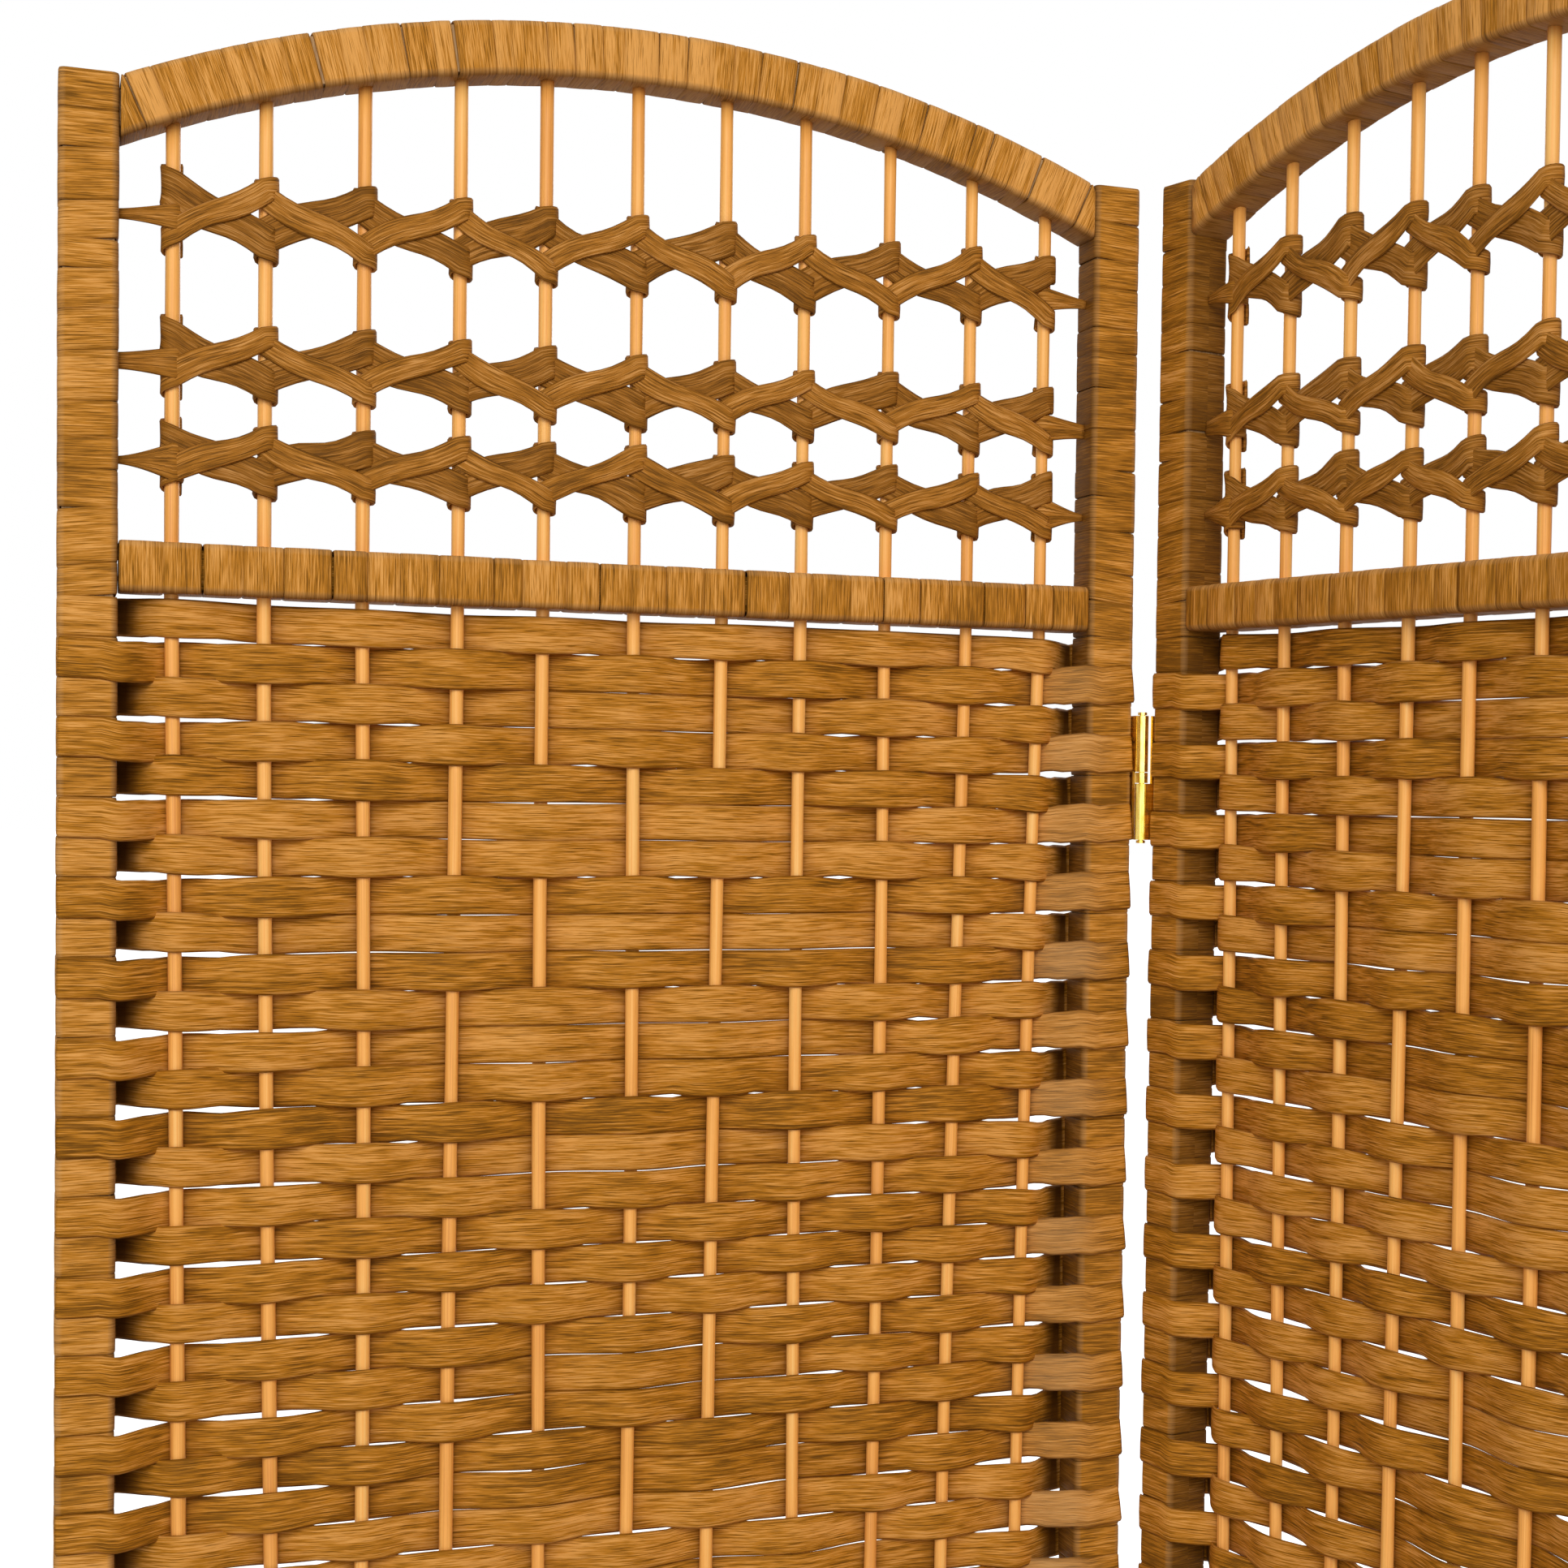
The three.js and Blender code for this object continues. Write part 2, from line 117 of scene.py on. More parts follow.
LAP_SETTLE_RUN = 6 * MM
LAP_PROUD = 0.35 * MM  # a weft's middle from the stile's face that it lies on
LAP_START = 1.5 * MM  # where a weft comes to lie on a stile, past the stile's inner face
LAP_STEPS = (6 * MM, 12 * MM, 18.4 * MM, 20.3 * MM, 21.2 * MM)  # a lap's steps past the inner face
FIRST_GAP = 1.0 * MM  # daylight above the first row
WIDEST_SLIT = 2.0 * MM
LEFT_EASE = 0.7  # share of the lap that is lost beside a left stile
WEFT_WANDER = 0.25 * MM
STRIP_RUN = 0.45  # length over which a weft's random curves turn a few times
BLEACH_MIDDLE = 6 * MM  # inwards of a right stile's inner face, where laps are palest
BLEACH_REACH = 14 * MM
# Painted shade where a weft dives behind a rod or a stile: how dark beside a rod, and how far it reaches
ROD_SHADE = 0.75
ROD_SHADE_REACH = 5 * MM
STILE_SHADE_REACH = 5 * MM

# Rods
ROD_STEPS = 90
ROD_CORNERS = 10
ROD_TUCK = 1.5 * MM  # how far a rod's ends go into the rails
ROD_SWELL = 0.03
ROD_RUN = 1.7  # length over which a rod's thickness varies a few times
ROD_BOW = 9 * MM  # how far the outermost rods lean inwards half way down the weave
ROD_WANDER = 1.2 * MM

# Bound turns
TURN_PITCH = 15.2 * MM
ARCH_TURN_PITCH = 11.5 * MM
TURN_JITTER = 0.22  # share of the pitch by which a turn's edge strays
TURN_THICKNESS = 1.2 * MM
TURN_INSET = 0.15 * MM  # keeps a turn's outside within the frame's own face
TURN_PROUD = 0.14 * MM  # how far a turn stands above or below its neighbours
TURN_FILL = (0.985, 1.01)  # a turn's width over the room that it has
ARCH_TURN_FILL = (1.0, 1.03)
STILE_TILTS = (-0.2 * MM, 1.3 * MM)  # how far a turn climbs from the middle of a face to its edge
ROW_TILTS = (-0.3 * MM, 0.3 * MM)
RAIL_TILTS = (-0.2 * MM, 1.1 * MM)
ARCH_TILTS = (-0.6 * MM, 0.9 * MM)
CORE_MARGINS = (4 * MM, 8 * MM)  # how much lower and thinner than the crossbar its core is
END_STRIP_INSET = 0.9 * MM
END_STRIP_DROP = 1.6 * MM
END_STRIP_BEND = 0.45  # share of the way to a stile's edge at which its end strip turns down
END_STRIP_MARGIN = 2.2 * MM
# Painted highlight: how much paler the rounded corners of the bound turns are made
CORNER_HIGHLIGHT = 0.5
# Painted shade on the side of a turn that faces shaded: the stiles' inner sides and the undersides of the
# rails and arch
SIDE_SHADE = 0.62
HINGE_STILE_DARKENING = 0.6  # how much darker in tone the stiles beside a hinge are
ARCH_LIT_TONES = (0.6, 1.8)  # painted light: the arch's turns are given paler tones, as lit from above

# Lattice
BAND_SWINGS = (11.2 * MM, 9.6 * MM, 8.8 * MM)
STRIP_WIDTHS = {"front": 9.4 * MM, "back": 13.2 * MM}
BACK_SWING = 0.88  # of the front strip's swing
STRIP_THICKNESS = 1.1 * MM
SECOND_PASS_DROP = 3.0 * MM
TURN_PEAK = 2.6 * MM
STRIP_SNUG = 0.1 * MM  # room between a rod and the strip's second pass round it
PASS_LIFT = 1.15  # strip thicknesses between the two passes
CROSS_CLEARANCE = 0.9 * MM
STEEP_ENDS = 0.35  # how much steeper a strip climbs beside the rods than in the middle of a gap
FIRST_TURN_START = 0.35  # share of a full turn at which a strip starts on the first rod
LAST_TURN_END = 0.62  # and at which it ends on the last one
TURN_STEPS = 17
GAP_STEPS = 9
STRIP_WANDER = 0.7 * MM
STRIP_SWELL = 0.1
BAND_RUN = 0.4  # length over which a lattice strip's random curves turn a few times
# Painted shade where a lattice strip passes behind a rod, and a painted shadow of the front strip on the back
# one
BEHIND_ROD_SHADE = 0.6
BACK_STRIP_SHADOW = 0.24
TIE_WIDTHS = ((4 * MM, 10 * MM), (6.5 * MM, 12 * MM), (3 * MM, 15 * MM))  # at the stile and at the rod
TIE_DROP = 3 * MM
TIE_TUCK = 0.8 * MM  # how far a tie goes into the stile's binding
TIE_LIFT = 1.2  # strip thicknesses between a rod's face and the tie's middle
TIE_THINNESS = 0.8  # of a strip's thickness
TIE_STEPS = 10
TIE_HOOK = 0.8 * math.pi  # how far it turns round the rod

FORWARDS = np.array([0, -1.0, 0])
BACKWARDS = np.array([0, 1.0, 0])
RIGHTWARDS = np.array([1.0, 0, 0])
UPWARDS = np.array([0, 0, 1.0])

# Cross sections, as pairs of share of half the width and share of half the thickness
STRIP_SECTION = ((-1, 0), (-0.86, -1), (0, -1.25), (0.86, -1), (1, 0), (0.86, 1), (0, 1.25), (-0.86, 1))
TURN_SECTION = ((-1, -1), (-1, 0.5), (-0.9, 0.95), (0, 1.1), (0.9, 0.95), (1, 0.5), (1, -1), (0, -1))


# Places ---------------------------------------------------------------------------------------------


class Place:
    """Where a panel stands: its middle on the floor, and its directions along and through."""

    def __init__(self, number):
        ends = []
        for side in SIDES:
            low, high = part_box(f"panel_{number}_{side}_stile_timber")
            ends.append(np.array([(low.x + high.x) / 2, (low.y + high.y) / 2]))
        run = ends[1] - ends[0]
        self.span = float(np.linalg.norm(run))
        self.along = run / self.span
        self.through = np.array([-self.along[1], self.along[0]])
        self.middle = (ends[0] + ends[1]) / 2

    def to_world(self, points):
        """x times the direction along, plus y times the direction through, plus the middle; z as it is."""
        flat = points[..., :1] * self.along + points[..., 1:2] * self.through + self.middle
        return np.concatenate([flat, points[..., 2:]], axis=-1)


PLACES = {number: Place(number) for number in PANELS}
STILE_MIDDLE = PLACES[1].span / 2
HALF_OPENING = STILE_MIDDLE - STILE_FACE / 2
STILE_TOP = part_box("panel_1_left_stile_binding")[1].z
FIELD_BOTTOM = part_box("panel_1_woven_field")[0].z
FIELD_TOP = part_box("panel_1_woven_field")[1].z
ROW_PITCH = (FIELD_TOP - FIELD_BOTTOM) / ROW_COUNT
CROSSBAR_MIDDLE = STILE_TOP - LATTICE_HEIGHT - RAIL_FACE / 2
BOTTOM_RAIL_MIDDLE = sum(corner.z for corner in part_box("panel_1_bottom_rail_binding")) / 2
ARCH_RADIUS = (HALF_OPENING**2 + ARCH_RISE**2) / (2 * ARCH_RISE)
ARCH_CENTRE = STILE_TOP + ARCH_RISE - ARCH_RADIUS
SCREEN_LOW, SCREEN_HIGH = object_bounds()


# Meshes ---------------------------------------------------------------------------------------------


class Surface:
    """Closed strips of one piece, gathered as grids of points and made into one mesh."""

    def __init__(self):
        self.points = []
        self.quads = []
        self.uvs = []
        self.edges = []
        self.tones = []
        self.pales = []
        self.painted_shades = []
        self.count = 0

    def add(self, points, along, across, edge, tone, ring=False, pale=0.0, deep=0.0):
        """points[strip, step, corner] with quads between neighbours. A ring's last step joins its first,
        and an open strip is closed by quads at both ends. along is metres down each strip, with one more
        for a ring's seam, and across is metres from its middle. edge, tone, pale and deep are what the
        finish reads."""
        strips, steps, corners = points.shape[:3]
        index = self.count + np.arange(strips * steps * corners).reshape(strips, steps, corners)
        here = index if ring else index[:, :-1]
        there = np.roll(index, -1, axis=1) if ring else index[:, 1:]
        quads = np.stack([here, there, np.roll(there, -1, axis=2), np.roll(here, -1, axis=2)], axis=-1)
        u_here = along[:, :-1, None].repeat(corners, axis=2)
        u_there = along[:, 1:, None].repeat(corners, axis=2)
        v_here = np.broadcast_to(across, (strips, quads.shape[1], corners))
        v_next = np.roll(v_here, -1, axis=2)
        u = np.stack([u_here, u_there, u_there, u_here], axis=-1)
        v = np.stack([v_here, v_here, v_next, v_next], axis=-1)
        self.quads.append(quads.reshape(-1, 4))
        self.uvs.append(np.stack([u, v], axis=-1).reshape(-1, 4, 2))
        if not ring:
            self.close_ends(index, along, np.broadcast_to(across, (strips, 1, corners)))
        self.points.append(points.reshape(-1, 3))
        shape = (strips, steps, corners)
        self.edges.append(np.broadcast_to(edge, shape).reshape(-1))
        self.tones.append(np.broadcast_to(np.asarray(tone)[:, None, None], shape).reshape(-1))
        self.pales.append(np.broadcast_to(pale, shape).reshape(-1))
        self.painted_shades.append(np.broadcast_to(deep, shape).reshape(-1))
        self.count += strips * steps * corners

    def close_ends(self, index, along, across):
        """Quads between the corners that face each other over the thickness, at both ends of a strip."""
        half = index.shape[2] // 2
        for step, flip in ((0, 1), (-1, -1)):
            for corner in range(half - 1):
                pick = [corner, corner + 1, 2 * half - 2 - corner, 2 * half - 1 - corner][::flip]
                self.quads.append(index[:, step][:, pick])
                u = np.broadcast_to(along[:, step, None], (len(index), 4))
                self.uvs.append(np.stack([u, across[:, 0, pick]], axis=-1))

    def make(self, name, place, material):
        """Builds the mesh in the screen's own coordinates, with its strip map and attributes."""
        points = place.to_world(np.concatenate(self.points))
        quads = np.concatenate(self.quads)
        uvs = np.concatenate(self.uvs)
        mesh = bpy.data.meshes.new(name)
        mesh.vertices.add(len(points))
        mesh.vertices.foreach_set("co", points.astype(np.float32).ravel())
        mesh.loops.add(quads.size)
        mesh.loops.foreach_set("vertex_index", quads.astype(np.int32).ravel())
        mesh.polygons.add(len(quads))
        mesh.polygons.foreach_set("loop_start", np.arange(0, quads.size, 4, dtype=np.int32))
        mesh.update(calc_edges=True)
        mesh.polygons.foreach_set("use_smooth", np.ones(len(quads), dtype=bool))
        layer = mesh.uv_layers.new(name="strip_map")
        layer.data.foreach_set("uv", uvs.astype(np.float32).ravel())
        marks = {"edge": self.edges, "tone": self.tones, "pale": self.pales, "deep": self.painted_shades}
        for label, values in marks.items():
            attribute = mesh.attributes.new(label, "FLOAT", "POINT")
            attribute.data.foreach_set("value", np.concatenate(values).astype(np.float32))
        mesh.validate()
        mesh.materials.append(material)
        piece = bpy.data.objects.new(name, mesh)
        bpy.context.scene.collection.objects.link(piece)
        return piece


def normalised(vectors):
    return vectors / np.maximum(np.linalg.norm(vectors, axis=-1, keepdims=True), 1e-12)


def path_length(points):
    """Metres from each strip's first step to each of its steps."""
    steps = np.linalg.norm(np.diff(points, axis=1), axis=-1)
    return np.concatenate([np.zeros((len(points), 1)), np.cumsum(steps, axis=1)], axis=1)


def through_knots(knots, values, x):
    """Values at x between knots, level at each knot: a + (b - a)(3s^2 - 2s^3), with s from 0 to 1."""
    slot = np.clip(np.searchsorted(knots, x, side="right") - 1, 0, len(knots) - 2)
    share = np.clip((x - knots[slot]) / (knots[slot + 1] - knots[slot]), 0, 1)
    eased = share * share * (3 - 2 * share)
    return values[..., slot] + (values[..., slot + 1] - values[..., slot]) * eased


def sway(rng, strips, length, x, waves=5):
    """A smooth random curve for each strip: a sum of sines of rising pitch and random phase."""
    total = np.zeros((strips, len(x)))
    for wave in range(1, waves + 1):
        turns = rng.uniform(0.7, 1.3, (strips, 1)) * wave * 2
        phase = rng.uniform(0, 2 * math.pi, (strips, 1))
        total += np.sin(2 * math.pi * turns * x[None] / length + phase) / math.sqrt(waves)
    return total


# Bound turns ----------------------------------------------------------------------------------------


def rounded_loop(half_a, half_b, radius, arc_steps=5):
    """A rectangle's outline with quarter-circle corners and a point in the middle of each side: points and
    outward directions, anticlockwise from the middle of the side at +a."""
    points = []
    outward = []
    for quarter in range(4):
        side = quarter * math.pi / 2
        reach = (half_a, half_b)[quarter % 2]
        points.append((reach * math.cos(side), reach * math.sin(side)))
        outward.append((math.cos(side), math.sin(side)))
        corner = side + math.pi / 4
        centre = ((half_a - radius) * math.copysign(1, math.cos(corner)),
                  (half_b - radius) * math.copysign(1, math.sin(corner)))
        for angle in np.linspace(side, side + math.pi / 2, arc_steps):
            points.append((centre[0] + radius * math.cos(angle), centre[1] + radius * math.sin(angle)))
            outward.append((math.cos(angle), math.sin(angle)))
    return np.array(points), np.array(outward)


def bind(surface, centres, axes, first, second, halves, widths, tones, tilts, proud, shaded, reach=1.0):
    """Turns of strip round a bar. Turn k is centres[k] + a first[k] + b second[k] for (a, b) round the
    rounded outline, spread along axes[k] by its width, lifted outwards by its section and tilted by
    tilts[k] times a. The side that faces shaded, a direction (a, b), gets painted shade, and the rounded
    corners a painted highlight. Past reach from the panel's middle a turn is pressed flat."""
    axes, first, second = (np.broadcast_to(each, centres.shape) for each in (axes, first, second))
    inside = TURN_THICKNESS / 2 + TURN_INSET
    loop, outward = rounded_loop(halves[0] - inside, halves[1] - inside, CORNER_RADIUS - inside)
    section = np.array(TURN_SECTION)
    height = section[:, 1] * TURN_THICKNESS / 2 + proud[:, None]
    a = loop[None, :, None, 0] + outward[None, :, None, 0] * height[:, None, :]
    b = loop[None, :, None, 1] + outward[None, :, None, 1] * height[:, None, :]
    spread = section[None, None, :, 0] * widths[:, None, None] / 2 + tilts[:, None, None] * a / halves[0]
    points = centres[:, None, None] + a[..., None] * first[:, None, None]
    points = points + b[..., None] * second[:, None, None] + spread[..., None] * axes[:, None, None]
    points[..., 0] = np.clip(points[..., 0], -reach, reach)
    closed = np.concatenate([loop, loop[:1]])
    along = np.concatenate([[0], np.cumsum(np.linalg.norm(np.diff(closed, axis=0), axis=1))])
    along = np.tile(along, (len(centres), 1))
    across = section[None, None, :, 0] * widths[:, None, None] / 2
    # Painted highlight on each turn's rounded corners
    corner_highlight = CORNER_HIGHLIGHT * np.abs(2 * outward[:, 0] * outward[:, 1])[None, :, None]
    # Painted shade on the side of each turn that faces shaded
    shade_mask = SIDE_SHADE * np.clip(outward @ np.array(shaded, float), 0, 1)[None, :, None]
    surface.add(points, along, across, np.abs(section[:, 0]), tones, ring=True, pale=corner_highlight, deep=shade_mask)


def strayed(edges, rng):
    """The edges of a run of turns, all but the first and the last moved aside by a share of the pitch."""
    pitch = abs(edges[1] - edges[0])
    moved = edges + rng.uniform(-TURN_JITTER, TURN_JITTER, len(edges)) * pitch
    moved[[0, -1]] = edges[[0, -1]]
    return moved


def free_edges(top, bottom, rng):
    """Edges of the turns that fill a stretch of a stile, strayed."""
    return strayed(np.linspace(top, bottom, 1 + round((top - bottom) / TURN_PITCH)), rng)


def row_tones(number):
    """One tone for each row of a panel, shared by its weft and by its turns round the stiles."""
    return np.random.default_rng(100 + number).uniform(0, 1, ROW_COUNT)


def row_middles():
    return FIELD_TOP - (np.arange(ROW_COUNT) + 0.5) * ROW_PITCH


def stile_turns(number, side):
    """Turns up a stile: free ones below and above the woven field, and one for each of its rows between."""
    rng = np.random.default_rng(200 + 10 * number + side)
    surface = Surface()
    above = free_edges(STILE_TOP, FIELD_TOP, rng)
    below = free_edges(FIELD_BOTTOM, BARE_FOOT, rng)
    edges = np.concatenate([above, FIELD_TOP - ROW_PITCH * np.arange(1, ROW_COUNT + 1), below[1:]])
    count = len(edges) - 1
    middles = (edges[1:] + edges[:-1]) / 2
    widths = (edges[:-1] - edges[1:]) * rng.uniform(*TURN_FILL, count)
    rows = slice(len(above) - 1, len(above) - 1 + ROW_COUNT)
    tilts = -side * rng.uniform(*STILE_TILTS, count)
    tilts[rows] = rng.uniform(*ROW_TILTS, count)[rows]
    tilts[[0, -1]] = 0
    tones = rng.uniform(0, 1, count)
    tones[rows] = row_tones(number)
    # The stiles beside a hinge are darker in tone
    if (number, side) not in ((PANELS[0], -1), (PANELS[-1], 1)):
        tones -= HINGE_STILE_DARKENING
    centres = np.stack([np.full(count, side * STILE_MIDDLE), np.zeros(count), middles], axis=-1)
    halves = (STILE_FACE / 2, FRAME_DEPTH / 2)
    proud = rng.uniform(-TURN_PROUD, TURN_PROUD, count)
    bind(surface, centres, UPWARDS, RIGHTWARDS, BACKWARDS, halves, widths, tones, tilts, proud, (-side, 0))
    add_end_strip(surface, side, rng.uniform(0, 1))
    return surface


def add_end_strip(surface, side, tone):
    """The short level strip over a stile's end under the last turn, drawn down at its outer end."""
    x = np.linspace(-1, 1, 13) * (STILE_FACE / 2 - END_STRIP_INSET)
    outwards = side * x / (STILE_FACE / 2)
    drop = END_STRIP_DROP * np.clip((outwards - END_STRIP_BEND) / (1 - END_STRIP_BEND), 0, 1) ** 2
    middle = np.stack([x + side * STILE_MIDDLE, 0 * x, STILE_TOP - END_STRIP_INSET - drop], axis=-1)[None]
    add_ribbon(surface, middle, UPWARDS, FRAME_DEPTH - END_STRIP_MARGIN, STRIP_THICKNESS, [tone])


def rail_turns(number, middle, core):
    """Turns along a level rail, and, where core is set, the plain bar inside them."""
    rng = np.random.default_rng(300 + number + int(1000 * middle))
    surface = Surface()
    reach = HALF_OPENING - SEAT_GAP
    count = round(2 * reach / TURN_PITCH)
    edges = strayed(np.linspace(-reach, reach, count + 1), rng)
    centres = np.stack([(edges[1:] + edges[:-1]) / 2, np.zeros(count), np.full(count, middle)], axis=-1)
    widths = np.diff(edges) * rng.uniform(*TURN_FILL, count)
    tilts = rng.uniform(*RAIL_TILTS, count)
    tilts[[0, -1]] = 0
    tones = rng.uniform(0, 1, count)
    proud = rng.uniform(-TURN_PROUD, TURN_PROUD, count)
    bind(surface, centres, RIGHTWARDS, BACKWARDS, UPWARDS, (FRAME_DEPTH / 2, RAIL_FACE / 2),
         widths, tones, tilts, proud, (0, -1))
    if core:
        x = np.linspace(-reach, reach, 3)
        line = np.stack([x, 0 * x, np.full(3, middle)], axis=-1)[None]
        width = RAIL_FACE - CORE_MARGINS[0]
        add_ribbon(surface, line, BACKWARDS, width, FRAME_DEPTH - CORE_MARGINS[1], [0.1])
    return surface


def arch_turns(number):
    """Turns round the arched rail, each square to the arc at its own place."""
    rng = np.random.default_rng(400 + number)
    surface = Surface()
    middle = ARCH_RADIUS - STILE_FACE / 2
    half_angle = math.asin(HALF_OPENING / (ARCH_RADIUS - STILE_FACE))
    count = round(2 * half_angle * middle / ARCH_TURN_PITCH)
    edges = strayed(np.linspace(-half_angle, half_angle, count + 1), rng)
    angles = (edges[1:] + edges[:-1]) / 2
    outward = np.stack([np.sin(angles), 0 * angles, np.cos(angles)], axis=-1)
    tangent = np.stack([np.cos(angles), 0 * angles, -np.sin(angles)], axis=-1)
    centres = outward * middle + np.array([0, 0, ARCH_CENTRE])
    widths = np.diff(edges) * middle * rng.uniform(*ARCH_TURN_FILL, count)
    tilts = rng.uniform(*ARCH_TILTS, count)
    tilts[[0, -1]] = 0
    # Painted light: paler tones for the arch's turns, as lit from above
    tones = rng.uniform(*ARCH_LIT_TONES, count)
    proud = rng.uniform(-TURN_PROUD, TURN_PROUD, count)
    bind(surface, centres, tangent, BACKWARDS, outward, (FRAME_DEPTH / 2, STILE_FACE / 2),
         widths, tones, tilts, proud, (0, -1), HALF_OPENING - SEAT_GAP)
    return surface


def add_ribbon(surface, middle, facing, width, thickness, tones, pale=0.0, deep=0.0, painted_shade_behind=0.0):
    """A flat strip along middle[strip, step]: each step is middle + q across + p outward, for (q, p)
    round the section. across is square to the path and to facing, and outward to the path and to across.
    width may change along the path. deep is painted shade on the side that facing points to, and
    painted_shade_behind painted shade on the other."""
    tangent = normalised(np.gradient(middle, axis=1))
    facing = np.broadcast_to(facing, middle.shape)
    across = normalised(np.cross(facing, tangent))
    outward = np.cross(tangent, across)
    section = np.array(STRIP_SECTION)
    widths = np.broadcast_to(np.asarray(width, float), middle.shape[:2])
    q = section[None, None, :, 0] * widths[..., None] / 2
    p = -section[None, None, :, 1] * thickness / 2
    points = middle[:, :, None] + q[..., None] * across[:, :, None] + p[..., None] * outward[:, :, None]
    mean_width = float(widths.mean())
    # Painted shade on each face of the strip
    shade_mask = np.asarray(deep)[..., None] * np.clip(-section[:, 1], 0, 1)
    shade_mask = shade_mask + np.asarray(painted_shade_behind)[..., None] * np.clip(section[:, 1], 0, 1)
    surface.add(points, path_length(middle), section[None, None, :, 0] * mean_width / 2,
                np.abs(section[:, 0]), tones, pale=np.asarray(pale)[..., None], deep=shade_mask)


# Rods -----------------------------------------------------------------------------------------------


def rod_place(index):
    """A rod's place along the panel above the weave, with index from 1."""
    return (index - (ROD_COUNT + 1) / 2) * ROD_PITCH


def rod_drift(index, z):
    """How far a rod leans aside in the weave: a sine from the crossbar to the bottom rail, with the cube
    of the rod's distance from the middle, and a small quick sine."""
    side = (index - (ROD_COUNT + 1) / 2) / ((ROD_COUNT - 1) / 2)
    share = np.clip((FIELD_TOP - z) / (FIELD_TOP - FIELD_BOTTOM), 0, 1)
    return ROD_WANDER * np.sin(9 * share + 2.1 * index) - ROD_BOW * side**3 * np.sin(math.pi * share)


def rod_x(index, z):
    return rod_place(index) + rod_drift(index, z)


def rods(number):
    """Round rods from the arch to the bottom rail: circles round a leaning line, thicker here and there."""
    rng = np.random.default_rng(500 + number)
    surface = Surface()
    angles = np.arange(ROD_CORNERS) * 2 * math.pi / ROD_CORNERS
    for index in range(1, ROD_COUNT + 1):
        top = ARCH_CENTRE + math.sqrt((ARCH_RADIUS - STILE_FACE) ** 2 - rod_place(index) ** 2) + ROD_TUCK
        z = np.linspace(top, FIELD_BOTTOM - ROD_TUCK, ROD_STEPS)
        radius = ROD_RADIUS * (1 + ROD_SWELL * sway(rng, 1, ROD_RUN, z, 7)[0])
        x = rod_x(index, z)[:, None] + radius[:, None] * np.cos(angles)
        y = radius[:, None] * np.sin(angles)
        points = np.stack([x, y, np.broadcast_to(z[:, None], x.shape)], axis=-1)[None]
        along = (top - z)[None]
        across = (angles * ROD_RADIUS)[None, None]
        surface.add(points, along, across, 0 * angles, rng.uniform(0, 1, 1))
    return surface


# Lattice --------------------------------------------------------------------------------------------


def lattice_path(level, swing, first_high, front):
    """A strip that zigzags from rod to rod and takes a full turn round each one. In a gap the line runs
    from one rod's second pass to the next rod's first pass, its height straight but for a sine that makes
    both ends steep. Round a rod it is a spiral that tightens by a little more than one thickness: angle
    from -90 to 270 degrees, height level +- (swing - drop s + peak sin(pi s))."""
    snug = ROD_RADIUS + STRIP_THICKNESS / 2 + STRIP_SNUG
    loose = snug + PASS_LIFT * STRIP_THICKNESS
    lean = -CROSS_CLEARANCE if front else CROSS_CLEARANCE
    path = []
    facing = []
    for index in range(1, ROD_COUNT + 1):
        high = 1 if (index % 2 == 1) == first_high else -1
        x = float(rod_x(index, level))
        start = FIRST_TURN_START if index == 1 else 0
        end = LAST_TURN_END if index == ROD_COUNT else 1
        share = np.linspace(start, end, TURN_STEPS)
        angle = -math.pi / 2 + 2 * math.pi * share
        radius = loose + (snug - loose) * share
        height = level + high * (swing - SECOND_PASS_DROP * share + TURN_PEAK * np.sin(math.pi * share))
        path.append(np.stack([x + radius * np.cos(angle), radius * np.sin(angle), height], axis=-1))
        facing.append(np.stack([np.cos(angle), np.sin(angle), 0 * angle], axis=-1))
        if index < ROD_COUNT:
            step = np.linspace(0, 1, GAP_STEPS)[1:-1]
            x_next = float(rod_x(index + 1, level))
            y = -snug + (snug - loose) * step + lean * np.sin(math.pi * step)
            climb = step + STEEP_ENDS * np.sin(2 * math.pi * step) / (2 * math.pi)
            z = level + high * ((swing - SECOND_PASS_DROP) * (1 - climb) - swing * climb)
            path.append(np.stack([x + (x_next - x) * step, y, z], axis=-1))
            facing.append(np.tile(FORWARDS, (len(step), 1)))
    return np.concatenate(path)[None], np.concatenate(facing)[None]


def add_tie(surface, level, side, widths, tone):
    """A short strip from a stile to the nearest rod, which widens towards the rod and hooks round it."""
    index = 1 if side < 0 else ROD_COUNT
    x_rod = float(rod_x(index, level))
    x_stile = side * (HALF_OPENING + TIE_TUCK)
    radius = ROD_RADIUS + TIE_LIFT * STRIP_THICKNESS
    step = np.linspace(0, 1, TIE_STEPS)
    x = x_stile + (x_rod - x_stile) * step
    y = -radius * np.sin(step * math.pi / 2)
    z = np.full(len(step), level)
    hook = step[1:] * TIE_HOOK
    hook_angle = -math.pi / 2 - side * hook
    hook_path = np.stack([x_rod + radius * np.cos(hook_angle), radius * np.sin(hook_angle),
                          np.full(len(hook), level)], axis=-1)
    path = np.concatenate([np.stack([x, y, z], axis=-1), hook_path])[None]
    facing = np.concatenate([np.tile(FORWARDS, (len(step), 1)),
                             np.stack([np.cos(hook_angle), np.sin(hook_angle), 0 * hook], axis=-1)])[None]
    width = np.concatenate([widths[0] + (widths[1] - widths[0]) * step**1.5, np.full(len(hook), widths[1])])
    add_ribbon(surface, path, facing, width[None], STRIP_THICKNESS * TIE_THINNESS, [tone])


